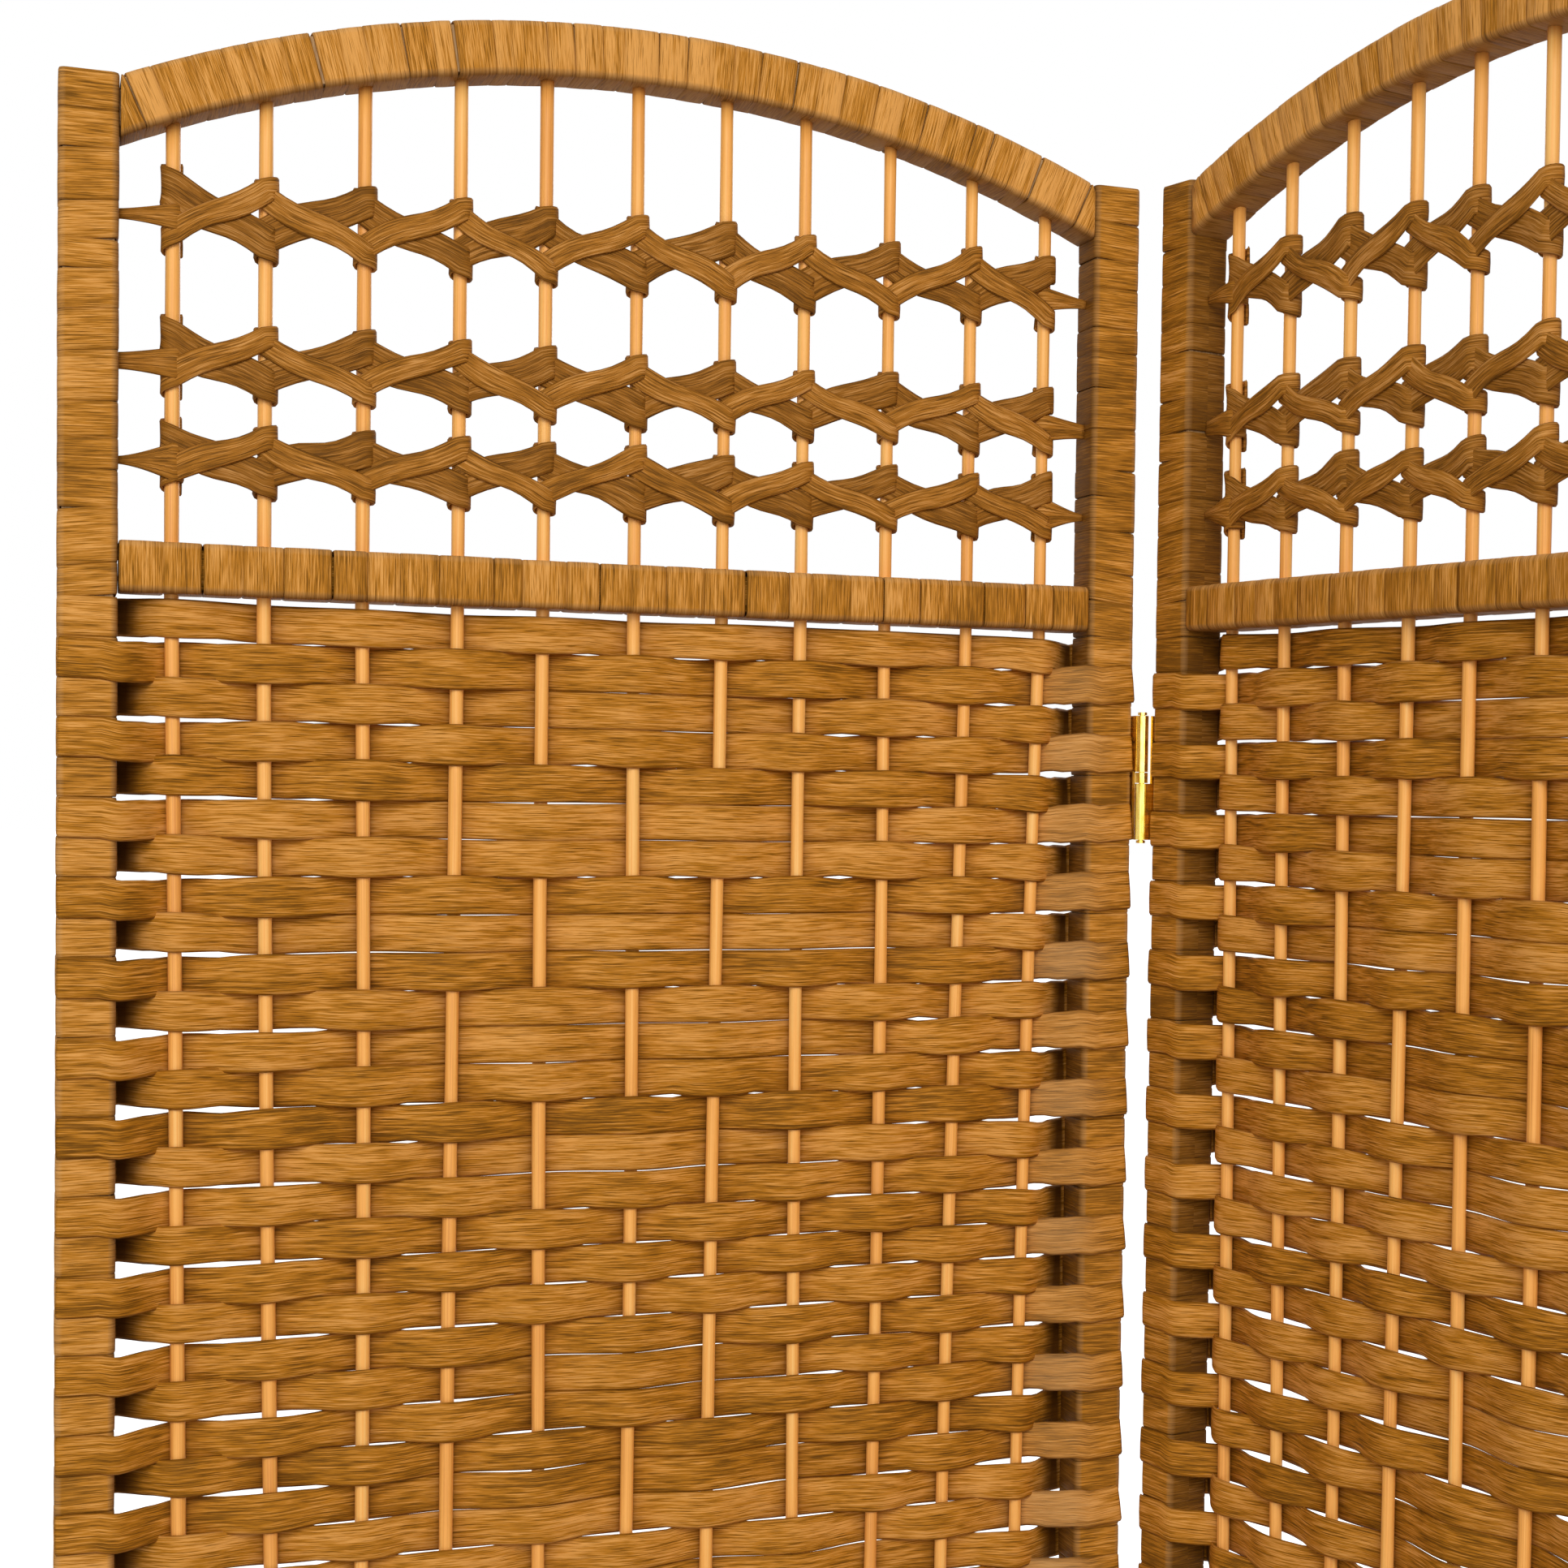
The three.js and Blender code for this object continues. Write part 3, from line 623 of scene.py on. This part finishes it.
def lattice_band(number, band):
    """Two strips in opposite phase, each a little unsteady in height and width, and a tie at each side."""
    rng = np.random.default_rng(600 + 10 * number + band)
    surface = Surface()
    level = STILE_TOP - BAND_DROPS[band]
    swing = BAND_SWINGS[band]
    for pass_name, mean_width in STRIP_WIDTHS.items():
        front = pass_name == "front"
        path, facing = lattice_path(level, swing * (1 if front else BACK_SWING), not front, front)
        path[..., 2] += STRIP_WANDER * sway(rng, 1, BAND_RUN, path[0, :, 0], 4)
        width = mean_width * (1 + STRIP_SWELL * sway(rng, 1, BAND_RUN, path[0, :, 0], 6))
        # Painted shade where a strip passes behind the rods, and on the back strip a painted shadow of the
        # front one
        behind = np.clip(path[..., 1] / ROD_RADIUS, 0, 1)
        add_ribbon(surface, path, facing, width, STRIP_THICKNESS, rng.uniform(0.1, 0.5, 1),
                   deep=BEHIND_ROD_SHADE * behind + (0 if front else BACK_STRIP_SHADOW) * (1 - behind))
    for side in SIDES.values():
        add_tie(surface, level - TIE_DROP, side, TIE_WIDTHS[band], rng.uniform(0, 0.3))
    return surface


# Woven field ----------------------------------------------------------------------------------------


def rod_shows():
    """Whether the weft of a row passes behind each rod, so that the rod shows, for stile, rods and stile.
    At every other crossing it does. In the diamonds' rows the crossings near the middle rod are turned
    over, which makes floats three rows high."""
    row = np.arange(ROW_COUNT)[:, None]
    rod = np.arange(ROD_COUNT + 2)[None]
    reach = np.array([DIAMOND_REACH.get(int(r) % DIAMOND_ROWS, -1) for r in row[:, 0]])[:, None]
    turned = np.abs(rod - (ROD_COUNT + 1) // 2) <= reach
    return ((row + rod) % 2 == 0) ^ turned


def weft_x():
    """Positions along the panel at which every weft has a step: evenly between the knots, which are the
    rods and where it comes to lie on the stiles, then over each stile and round its far corner."""
    rods_x = rod_place(np.arange(1, ROD_COUNT + 1))
    edge = HALF_OPENING + LAP_START
    knots = np.concatenate([[-edge], rods_x, [edge]])
    inner = [np.linspace(a, b, BEND_STEPS, endpoint=False) for a, b in zip(knots[:-1], knots[1:])]
    over = HALF_OPENING + np.array([LAP_START, *LAP_STEPS])
    return knots, np.concatenate([-over[:0:-1], *inner, over])


def stile_depth(x):
    """How far a weft's middle lies from the panel's over a stile: level, then round the far corner."""
    past = np.clip(np.abs(x) - HALF_OPENING - STILE_FACE + CORNER_RADIUS, 0, CORNER_RADIUS)
    radius = CORNER_RADIUS + LAP_PROUD
    return FRAME_DEPTH / 2 - CORNER_RADIUS + np.sqrt(radius**2 - past**2)


def woven_field(number):
    """Row r is a strip at height row_middles()[r] whose depth runs through +-STAND_OFF at the rods, as
    rod_shows() says, and out to the stile's front or back at both ends. Its upper and lower edges move by
    half the daylight to the next row, which closes where both rows pass the rods on the same side."""
    rng = np.random.default_rng(700 + number)
    knots, x = weft_x()
    shows = rod_shows()
    middles = row_middles()
    depth = np.where(shows, STAND_OFF, -STAND_OFF)
    depth[:, [0, -1]] = np.where(shows[:, [0, -1]], 1, -1) * stile_depth(HALF_OPENING)
    y = through_knots(knots, depth, x)
    on_stile = np.abs(x) > HALF_OPENING + LAP_START / 2
    y = np.where(on_stile, np.sign(y) * stile_depth(x), y)
    drift = np.stack([rod_drift(index, middles) for index in range(1, ROD_COUNT + 1)], axis=-1)
    drift = np.pad(drift, ((0, 0), (1, 1)))
    shift = through_knots(knots, drift, x)
    crosses = np.concatenate([shows[1:] != shows[:-1], 0 * shows[-1:]], axis=0).astype(float)
    apart = np.abs(np.diff(y, axis=0, append=y[-1:])) / (2 * STAND_OFF)
    slit = OPEN_SLIT + SLIT_SWAY * sway(rng, ROW_COUNT, STRIP_RUN, x, 7)
    below = through_knots(knots, crosses, x) * slit
    eased = LEFT_EASE * np.exp(-(x + HALF_OPENING) / LEFT_FADE).clip(0, 1)
    lap = ROD_LAP * np.minimum(apart, 1) * (1 - eased)
    below = np.clip(below - lap, -lap, WIDEST_SLIT)
    above = np.concatenate([np.full((1, len(x)), FIRST_GAP), below[:-1]], axis=0)
    even = np.where(shows[:, :1], 1.0, -1.0)
    left = np.exp(-np.maximum(x + HALF_OPENING, 0) / LEFT_FADE)
    right = np.exp(np.minimum(x - HALF_OPENING, 0) / RIGHT_FADE)
    slant = LAP_SLANT * np.clip((x - HALF_OPENING + SLANT_RUN_UP) / (STILE_FACE + SLANT_RUN_UP), 0, 1)
    settled = LAP_SETTLES * np.clip((np.abs(x) - HALF_OPENING) / LAP_SETTLE_RUN, 0, 1)
    lift = even * (LEFT_LIFT * left - RIGHT_LIFT * right) * (1 - settled) + (even < 0) * slant
    top = middles[:, None] + ROW_PITCH / 2 - above / 2 + lift
    bottom = middles[:, None] - ROW_PITCH / 2 + below / 2 + lift
    wander = WEFT_WANDER * sway(rng, ROW_COUNT, STRIP_RUN, x, 3)
    line = np.stack([x[None] + shift, y, (top + bottom) / 2 + wander], axis=-1)
    surface = Surface()
    near_stile = np.exp(-(((x - HALF_OPENING + BLEACH_MIDDLE) / BLEACH_REACH) ** 2))
    bleached = near_stile * rng.uniform(0.3, 1, (ROW_COUNT, 1))
    pale = np.where(even < 0, bleached, 0.0)
    rods_x = knots[1:-1]
    to_rod = np.abs(x[:, None] - rods_x[None]).min(axis=1)
    near_rod = np.exp(-((to_rod / ROD_SHADE_REACH) ** 2))
    # Painted shade on the front and back faces of a weft where it lies behind a rod or goes behind a stile
    shade_masks = []
    for hidden in (y, -y):
        by_rod = ROD_SHADE * np.clip(hidden / STAND_OFF * 2 - 1, 0, 1) * near_rod
        by_stile = np.clip((hidden - 0.9 * STAND_OFF) / STILE_SHADE_REACH, 0, 1) * ~on_stile
        shade_masks.append(np.maximum(by_rod, by_stile))
    add_ribbon(surface, line, FORWARDS, top - bottom, WEFT_THICKNESS, row_tones(number), pale, *shade_masks)
    return surface


# Hinges ---------------------------------------------------------------------------------------------


def screw_heads(joint, where, half):
    """Three low domes on a leaf: circles that shrink as they rise from it. An upper leaf, half 1, is on its
    panel's right stile, and a lower one, half -1, on the left."""
    low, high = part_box(f"hinge_{joint}_{where}_{LEAVES[half]}_leaf")
    face = -1 if joint == 1 else 1
    middle = (low.z + high.z) / 2
    outside = half * (STILE_MIDDLE + STILE_FACE / 2 + SEAT_GAP + LEAF_THICKNESS)
    angles = -half * np.arange(SCREW_CORNERS) * 2 * math.pi / SCREW_CORNERS
    rings = np.array(SCREW_RINGS)
    places = np.array([(SCREW_STAGGER, -SCREW_SPREAD), (-SCREW_STAGGER, 0), (SCREW_STAGGER, SCREW_SPREAD)])
    x = outside + half * rings[None, :, None, 1]
    y = face * SCREW_DEPTH + places[:, None, None, :1] + rings[None, :, None, :1] * np.cos(angles)[:, None]
    z = middle + places[:, None, None, 1:] + rings[None, :, None, :1] * np.sin(angles)[:, None]
    points = np.stack([np.broadcast_to(x, y[..., 0].shape), y[..., 0], z[..., 0]], axis=-1)
    surface = Surface()
    along = np.tile(rings[:, 1], (3, 1))
    surface.add(points, along, 0 * angles, 0 * angles, np.full(3, 0.5))
    return surface


# Materials ------------------------------------------------------------------------------------------

BLEACH = (0.13, 0.1, 0.055)  # what the palest threads have beyond their strip's own colour
THREAD_DEPTHS = {"bound_fibre": 0.55, "weft_fibre": 0.62, "lattice_fibre": 0.58}


class Term:
    """A socket that Python's arithmetic adds Math nodes to."""

    def __init__(self, finish, socket):
        self.finish = finish
        self.socket = socket

    def math(self, operation, *others):
        inputs = dict(enumerate((self, *others)))
        return self.finish.node("ShaderNodeMath", {"operation": operation}, inputs)

    def __add__(self, other):
        return self.math("ADD", other)

    __radd__ = __add__

    def __sub__(self, other):
        return self.math("SUBTRACT", other)

    def __rsub__(self, other):
        return self.finish.node("ShaderNodeMath", {"operation": "SUBTRACT"}, {0: other, 1: self})

    def __mul__(self, other):
        return self.math("MULTIPLY", other)

    __rmul__ = __mul__

    def __pow__(self, other):
        return self.math("POWER", other)

    def clamped(self):
        return self.finish.node("ShaderNodeClamp", None, {"Value": self})


class Finish:
    """The nodes of a material or a world: node() adds any node, and the rest are shared helpers."""

    def __init__(self, owner):
        owner.use_nodes = True
        self.owner = owner
        self.tree = owner.node_tree
        self.surface = self.tree.nodes.get("Principled BSDF") or self.tree.nodes["Background"]

    def node(self, kind, settings=None, inputs=None, output=0):
        """Adds a node, with its settings (a ramp's stops under "stops") and then its values and links."""
        node = self.tree.nodes.new(kind)
        settings = dict(settings or {})
        stops = settings.pop("stops", None)
        for key, value in settings.items():
            setattr(node, key, value)
        if stops:
            ramp = node.color_ramp
            while len(ramp.elements) < len(stops):
                ramp.elements.new(0.5)
            for element, (position, colour) in zip(ramp.elements, stops):
                element.position = position
                element.color = (*colour, 1)
        for key, value in (inputs or {}).items():
            self.feed(node.inputs[key], value)
        return Term(self, node.outputs[output])

    def feed(self, socket, value):
        if isinstance(value, Term):
            self.tree.links.new(value.socket, socket)
        else:
            socket.default_value = value

    def attribute(self, name):
        return self.node("ShaderNodeAttribute", {"attribute_name": name}, None, "Fac")

    def strip_position(self):
        """Metres along and across a strip."""
        place = self.node("ShaderNodeUVMap", {"uv_map": "strip_map"})
        along = self.node("ShaderNodeSeparateXYZ", None, {0: place}, "X")
        return along, self.node("ShaderNodeSeparateXYZ", None, {0: place}, "Y")

    def noise(self, x, y, z, detail=2.0, roughness=0.55):
        vector = self.node("ShaderNodeCombineXYZ", None, {0: x, 1: y, 2: z})
        inputs = {"Vector": vector, "Scale": 1.0, "Detail": detail, "Roughness": roughness}
        return self.node("ShaderNodeTexNoise", None, inputs, "Fac")

    def mix(self, factor, first, second, blend="MIX"):
        inputs = {0: factor, 6: first, 7: second}
        return self.node("ShaderNodeMix", {"data_type": "RGBA", "blend_type": blend}, inputs, 2)

    def set(self, **values):
        for key, value in values.items():
            self.feed(self.surface.inputs[key.replace("_", " ")], value)

    def bump(self, height, strength, distance):
        inputs = {"Height": height, "Strength": strength, "Distance": distance}
        self.set(Normal=self.node("ShaderNodeBump", None, inputs))


def new_finish(name):
    return Finish(bpy.data.materials.new(name))


def rgb(red, green, blue):
    """A colour read as it looks on a screen, as the linear values that a shader takes."""
    share = np.array([red, green, blue]) / 255
    return tuple(np.where(share <= 0.04045, share / 12.92, ((share + 0.055) / 1.055) ** 2.4))


def fibre_finish(name, colour, depth):
    """Flat plant fibre strip: streaks a millimetre high and a few centimetres long down the strip, fine
    dark splits, broad drifts of tone, one tone for each strip, darker edges, bleached places, painted
    highlights and painted shade. depth is how much darker than colour the darkest threads are."""
    finish = new_finish(name)
    along, across = finish.strip_position()
    tone = finish.attribute("tone")
    edge = finish.attribute("edge")
    pale = finish.attribute("pale")
    deep = finish.attribute("deep")
    streak = finish.noise(along * 55, across * 1500, tone * 61, 3.0, 0.65)
    thread = finish.noise(along * 90, across * 3000, tone * 83 + 5, 2.0)
    drift = finish.noise(along * 26, across * 160, tone * 37, 2.0)
    splits = ((0.42 - thread) * 8).clamped()
    body = streak * 2.0 + thread * 1.5 + drift * 1.0 + tone * 0.35 - 1.925
    colour = np.array(colour)
    stops = ((0.05, colour * (1 - depth)), (0.5, colour), (0.95, colour * 1.2 + np.array(BLEACH) * 1.25))
    shade = finish.node("ShaderNodeValToRGB", {"stops": stops}, {0: body})
    shade = finish.mix(splits * 0.5, shade, (*(colour * 0.3), 1))
    # pale: bleached laps, and a painted highlight on the turns' rounded corners
    shade = finish.mix(pale * (0.1 + streak * 1.1), shade, (*rgb(204, 158, 104), 1))
    # Painted shade: a dark, saturated brown mixed in by the deep mark
    shade = finish.mix(deep * 0.95, shade, (*(colour * np.array([0.15, 0.12, 0.1])), 1))
    shade = finish.mix((edge**8) * 0.4, shade, (*(colour * 0.35), 1))
    finish.set(Base_Color=shade, Roughness=0.5 + streak * 0.3)
    finish.surface.inputs["Specular IOR Level"].default_value = 0.1
    finish.bump(streak * 0.8 + drift * 0.5 - splits * 0.5, 0.6, 0.5 * MM)
    return finish.owner


def rod_finish():
    """Peeled cane: pale honey with fine lengthwise lines."""
    finish = new_finish("peeled_cane")
    along, across = finish.strip_position()
    tone = finish.attribute("tone")
    line = finish.noise(along * 14, across * 1500, tone * 40, 3.0, 0.6)
    drift = finish.noise(along * 9, across * 60, tone * 70, 2.0)
    stops = ((0.25, rgb(220, 140, 58)), (0.5, rgb(250, 176, 84)), (0.75, rgb(255, 202, 118)))
    shade = finish.node("ShaderNodeValToRGB", {"stops": stops}, {0: line * 0.7 + drift * 0.6 - 0.15})
    finish.set(Base_Color=shade, Roughness=0.42 + line * 0.2)
    finish.bump(line, 0.2, 0.3 * MM)
    return finish.owner


def timber_finish():
    """Plain softwood: grain lines drawn out up the stiles."""
    finish = new_finish("plain_timber")
    place = finish.node("ShaderNodeTexCoord", None, None, "Object")
    x, y, z = (finish.node("ShaderNodeSeparateXYZ", None, {0: place}, axis) for axis in "XYZ")
    grain = finish.noise(x * 900, y * 900, z * 18, 3.0)
    stops = ((0.3, rgb(150, 106, 60)), (0.7, rgb(206, 166, 112)))
    shade = finish.node("ShaderNodeValToRGB", {"stops": stops}, {0: grain})
    finish.set(Base_Color=shade, Roughness=0.6 + grain * 0.2)
    finish.bump(grain, 0.2, 0.3 * MM)
    return finish.owner


def brass_finish():
    """Bright plated brass with faint rubbed marks."""
    finish = new_finish("bright_brass")
    place = finish.node("ShaderNodeTexCoord", None, None, "Object")
    x, y, z = (finish.node("ShaderNodeSeparateXYZ", None, {0: place}, axis) for axis in "XYZ")
    rub = finish.noise(x * 500, y * 500, z * 120, 3.0)
    stops = ((0.35, rgb(224, 188, 76)), (0.65, rgb(250, 226, 128)))
    shade = finish.node("ShaderNodeValToRGB", {"stops": stops}, {0: rub})
    finish.set(Base_Color=shade, Roughness=0.18 + rub * 0.16)
    finish.surface.inputs["Metallic"].default_value = 1.0
    return finish.owner


# Operators ------------------------------------------------------------------------------------------


class WovenScreenSettings(bpy.types.PropertyGroup):
    """Colours and light of the screen."""

    binding_colour: bpy.props.FloatVectorProperty(
        name="Binding", description="Strip bound round the frame", subtype="COLOR", default=rgb(190, 124, 35))
    weft_colour: bpy.props.FloatVectorProperty(
        name="Wefts", description="Strip woven over and under the rods", subtype="COLOR",
        default=rgb(188, 121, 28))
    lattice_colour: bpy.props.FloatVectorProperty(
        name="Lattice", description="Strip wound from rod to rod above the crossbar", subtype="COLOR",
        default=rgb(174, 112, 34))
    key_power: bpy.props.FloatProperty(
        name="Key light", description="Power of the large soft light", default=26, min=0, unit="POWER")
    fill_power: bpy.props.FloatProperty(
        name="Fill light", description="Power of the light from above", default=42, min=0, unit="POWER")
    rear_power: bpy.props.FloatProperty(
        name="Rear light", description="Power of the light behind the screen", default=36, min=0,
        unit="POWER")


def fibre(name, colour):
    """The fibre finish of that name, made when it is first asked for."""
    return bpy.data.materials.get(name) or fibre_finish(name, tuple(colour), THREAD_DEPTHS[name])


def dress(surface, name, number, finish, slot, *nodes):
    """Makes a panel's piece, which moves with the panel and stands for those nodes of the frame."""
    piece = surface.make(name, PLACES[number], finish)
    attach(piece, f"panel_{number}")
    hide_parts(*nodes)
    return piece


class SCREEN_OT_bind_stiles(bpy.types.Operator):
    """Bind every stile with turns of strip"""

    bl_idname = "woven_screen.bind_stiles"
    bl_label = "Bind Stiles"

    def execute(self, context):
        finish = fibre("bound_fibre", context.scene.woven_screen.binding_colour)
        for number in PANELS:
            for name, side in SIDES.items():
                stem = f"panel_{number}_{name}_stile"
                dress(stile_turns(number, side), f"{stem}_turns", number, finish, "bound_strip",
                      f"{stem}_binding")
        return {"FINISHED"}


class SCREEN_OT_bind_rails(bpy.types.Operator):
    """Bind the arched rails, the crossbars and the bottom rails"""

    bl_idname = "woven_screen.bind_rails"
    bl_label = "Bind Rails"

    def execute(self, context):
        finish = fibre("bound_fibre", context.scene.woven_screen.binding_colour)
        for number in PANELS:
            stem = f"panel_{number}"
            dress(arch_turns(number), f"{stem}_arch_turns", number, finish,
                  "bound_strip", f"{stem}_arch_binding")
            dress(rail_turns(number, CROSSBAR_MIDDLE, True), f"{stem}_crossbar_turns", number, finish,
                  "bound_strip", f"{stem}_crossbar_and_rods")
            dress(rail_turns(number, BOTTOM_RAIL_MIDDLE, False), f"{stem}_bottom_rail_turns", number, finish,
                  "bound_strip", f"{stem}_bottom_rail_binding")
        return {"FINISHED"}


class SCREEN_OT_set_rods(bpy.types.Operator):
    """Set the eleven rods of every panel"""

    bl_idname = "woven_screen.set_rods"
    bl_label = "Set Rods"

    def execute(self, context):
        finish = rod_finish()
        for number in PANELS:
            dress(rods(number), f"panel_{number}_rods", number, finish, "rod",
                  f"panel_{number}_crossbar_and_rods")
        return {"FINISHED"}


class SCREEN_OT_wind_lattice(bpy.types.Operator):
    """Wind the three lattice bands of every panel"""

    bl_idname = "woven_screen.wind_lattice"
    bl_label = "Wind Lattice"

    def execute(self, context):
        finish = fibre("lattice_fibre", context.scene.woven_screen.lattice_colour)
        for number in PANELS:
            for band, name in enumerate(BANDS):
                stem = f"panel_{number}_{name}_lattice"
                dress(lattice_band(number, band), f"{stem}_strips", number, finish, "lattice_strip",
                      f"{stem}_band")
        return {"FINISHED"}


class SCREEN_OT_weave_field(bpy.types.Operator):
    """Weave the field of every panel"""

    bl_idname = "woven_screen.weave_field"
    bl_label = "Weave Field"

    def execute(self, context):
        finish = fibre("weft_fibre", context.scene.woven_screen.weft_colour)
        for number in PANELS:
            dress(woven_field(number), f"panel_{number}_wefts", number, finish, "weft_strip",
                  f"panel_{number}_woven_field")
        return {"FINISHED"}


class SCREEN_OT_finish_frame(bpy.types.Operator):
    """Give the timber and the hinges their materials"""

    bl_idname = "woven_screen.finish_frame"
    bl_label = "Finish Timber and Hinges"

    def execute(self, context):
        timber = timber_finish()
        brass = brass_finish()
        for joint in (1, 2):
            for where in HINGE_PLACES:
                for half, number in ((1, joint), (-1, joint + 1)):
                    stem = f"hinge_{joint}_{where}_{LEAVES[half]}_leaf"
                    screws = screw_heads(joint, where, half).make(f"{stem}_screws", PLACES[number], brass)
                    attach(screws, f"panel_{number}")
        for name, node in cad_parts.items():
            if name.startswith("hinge"):
                finish = brass
            elif name.endswith("timber"):
                finish = timber
            else:
                continue
            node.data.materials.clear()
            node.data.materials.append(finish)
        return {"FINISHED"}


class SCREEN_OT_set_stage(bpy.types.Operator):
    """Set the floor, the lights, the white surroundings and the camera"""

    bl_idname = "woven_screen.set_stage"
    bl_label = "Set Stage"

    def execute(self, context):
        settings = context.scene.woven_screen
        make_floor()
        make_world()
        make_lamp("key", KEY_PLACE, KEY_SIZE, settings.key_power)
        make_lamp("fill", FILL_PLACE, FILL_SIZE, settings.fill_power)
        make_lamp("rear", REAR_PLACE, FILL_SIZE, settings.rear_power)
        make_camera()
        bpy.context.scene.view_settings.view_transform = "Standard"
        return {"FINISHED"}


# Stage ----------------------------------------------------------------------------------------------

CAMERA_PLACE = (0.0892, -0.9628, 1.4902)
CAMERA_YAW = math.radians(15.8)  # to the left of straight ahead
CAMERA_PITCH = math.radians(-1.79)
CAMERA_ROLL = math.radians(0.89)
FOCAL_SHARE = 3115.1 / 1932  # focal length over the picture's width
SHIFT = (-350 / 1932, 110 / 1932)
SENSOR = 36.0
BLACK = (0, 0, 0, 1)
WHITE = (1, 1, 1, 1)
FLOOR_REACH = 60.0
FLOOR_NEAR = 1.0  # metres from the screen's middle out to which the floor keeps its shade
FLOOR_FADE = 0.4  # share of the way to white in each metre beyond
FLOOR_GLOW = 0.45  # white that the near floor shows of itself
FLOOR_COLOUR = (0.86, 0.86, 0.86, 1)
AMBIENT = 0.27  # strength of the white that falls on things from all sides
KEY_PLACE = (0.4, -2.2, 2.2)
KEY_SIZE = 1.4
FILL_PLACE = (1.5, -2.4, 3.4)
FILL_SIZE = 2.4
REAR_PLACE = (-0.8, 3.2, 3.0)


def make_camera():
    """Works out the camera's axes from its yaw and pitch, and turns them by its roll round the one ahead."""
    ahead = np.array([-math.sin(CAMERA_YAW) * math.cos(CAMERA_PITCH),
                      math.cos(CAMERA_YAW) * math.cos(CAMERA_PITCH), math.sin(CAMERA_PITCH)])
    right = np.array([math.cos(CAMERA_YAW), math.sin(CAMERA_YAW), 0])
    up = np.cross(right, ahead)
    turned_right = math.cos(CAMERA_ROLL) * right + math.sin(CAMERA_ROLL) * up
    turned_up = math.cos(CAMERA_ROLL) * up - math.sin(CAMERA_ROLL) * right
    camera = bpy.data.cameras.new("camera")
    camera.sensor_width = SENSOR
    camera.lens = SENSOR * FOCAL_SHARE
    camera.shift_x, camera.shift_y = SHIFT
    camera.clip_start, camera.clip_end = 0.05, 100
    holder = bpy.data.objects.new("camera", camera)
    turn = Matrix((turned_right, turned_up, -ahead)).transposed().to_4x4()
    holder.matrix_world = Matrix.Translation(CAMERA_PLACE) @ turn
    bpy.context.scene.collection.objects.link(holder)
    bpy.context.scene.camera = holder


def make_lamp(name, place, size, power):
    """A square soft lamp that faces the middle of the screen."""
    lamp = bpy.data.lights.new(name, "AREA")
    lamp.shape = "SQUARE"
    lamp.size = size
    lamp.energy = power
    holder = bpy.data.objects.new(name, lamp)
    direction = (SCREEN_LOW + SCREEN_HIGH) / 2 - Vector(place)
    holder.location = place
    holder.rotation_euler = direction.to_track_quat("-Z", "Y").to_euler()
    bpy.context.scene.collection.objects.link(holder)


def seen_directly(finish):
    """1 for rays from the camera and for mirrored and refracted ones, 0 for light that falls on things."""
    rays = [finish.node("ShaderNodeLightPath", None, None, f"Is {kind} Ray")
            for kind in ("Camera", "Glossy", "Transmission")]
    return (rays[0] + rays[1] + rays[2]).clamped()


def make_floor():
    """A pale matt floor that takes the screen's shadow and fades to plain white further off."""
    finish = new_finish("floor")
    finish.set(Base_Color=FLOOR_COLOUR, Roughness=0.9)
    place = finish.node("ShaderNodeTexCoord", None, None, "Object")
    distance = finish.node("ShaderNodeVectorMath", {"operation": "LENGTH"}, {0: place}, "Value")
    far = ((distance - FLOOR_NEAR) * FLOOR_FADE).clamped()
    glow = finish.mix(seen_directly(finish) * (FLOOR_GLOW + far), BLACK, WHITE)
    finish.set(Emission_Color=glow, Emission_Strength=1.0)
    finish.surface.inputs["Specular IOR Level"].default_value = 0.0
    mesh = bpy.data.meshes.new("floor")
    reach = FLOOR_REACH
    corners = [(-reach, -reach, 0), (reach, -reach, 0), (reach, reach, 0), (-reach, reach, 0)]
    mesh.from_pydata(corners, [], [(0, 1, 2, 3)])
    mesh.materials.append(finish.owner)
    floor = bpy.data.objects.new("floor", mesh)
    floor.location.z = SCREEN_LOW.z
    bpy.context.scene.collection.objects.link(floor)


def make_world():
    """White to the camera, and a plain dimmer white as light."""
    world = bpy.data.worlds.new("surroundings")
    bpy.context.scene.world = world
    finish = Finish(world)
    finish.set(Color=finish.mix(seen_directly(finish), (AMBIENT, AMBIENT, AMBIENT, 1), WHITE), Strength=1.0)


OPERATORS = (
    SCREEN_OT_bind_stiles,
    SCREEN_OT_bind_rails,
    SCREEN_OT_set_rods,
    SCREEN_OT_wind_lattice,
    SCREEN_OT_weave_field,
    SCREEN_OT_finish_frame,
    SCREEN_OT_set_stage,
)


class SCREEN_PT_woven_screen(bpy.types.Panel):
    """Lists the screen's operators and settings"""

    bl_label = "Woven Screen"
    bl_space_type = "VIEW_3D"
    bl_region_type = "UI"
    bl_category = "Woven Screen"

    def draw(self, context):
        settings = context.scene.woven_screen
        for name in WovenScreenSettings.__annotations__:
            self.layout.prop(settings, name)
        for operator in OPERATORS:
            self.layout.operator(operator.bl_idname)


CLASSES = (WovenScreenSettings, *OPERATORS, SCREEN_PT_woven_screen)


def register():
    for cls in CLASSES:
        bpy.utils.register_class(cls)
    bpy.types.Scene.woven_screen = bpy.props.PointerProperty(type=WovenScreenSettings)


def unregister():
    del bpy.types.Scene.woven_screen
    for cls in reversed(CLASSES):
        bpy.utils.unregister_class(cls)


def main():
    register()
    for operator in OPERATORS:
        group, name = operator.bl_idname.split(".")
        getattr(getattr(bpy.ops, group), name)()


if __name__ == "__main__":
    main()
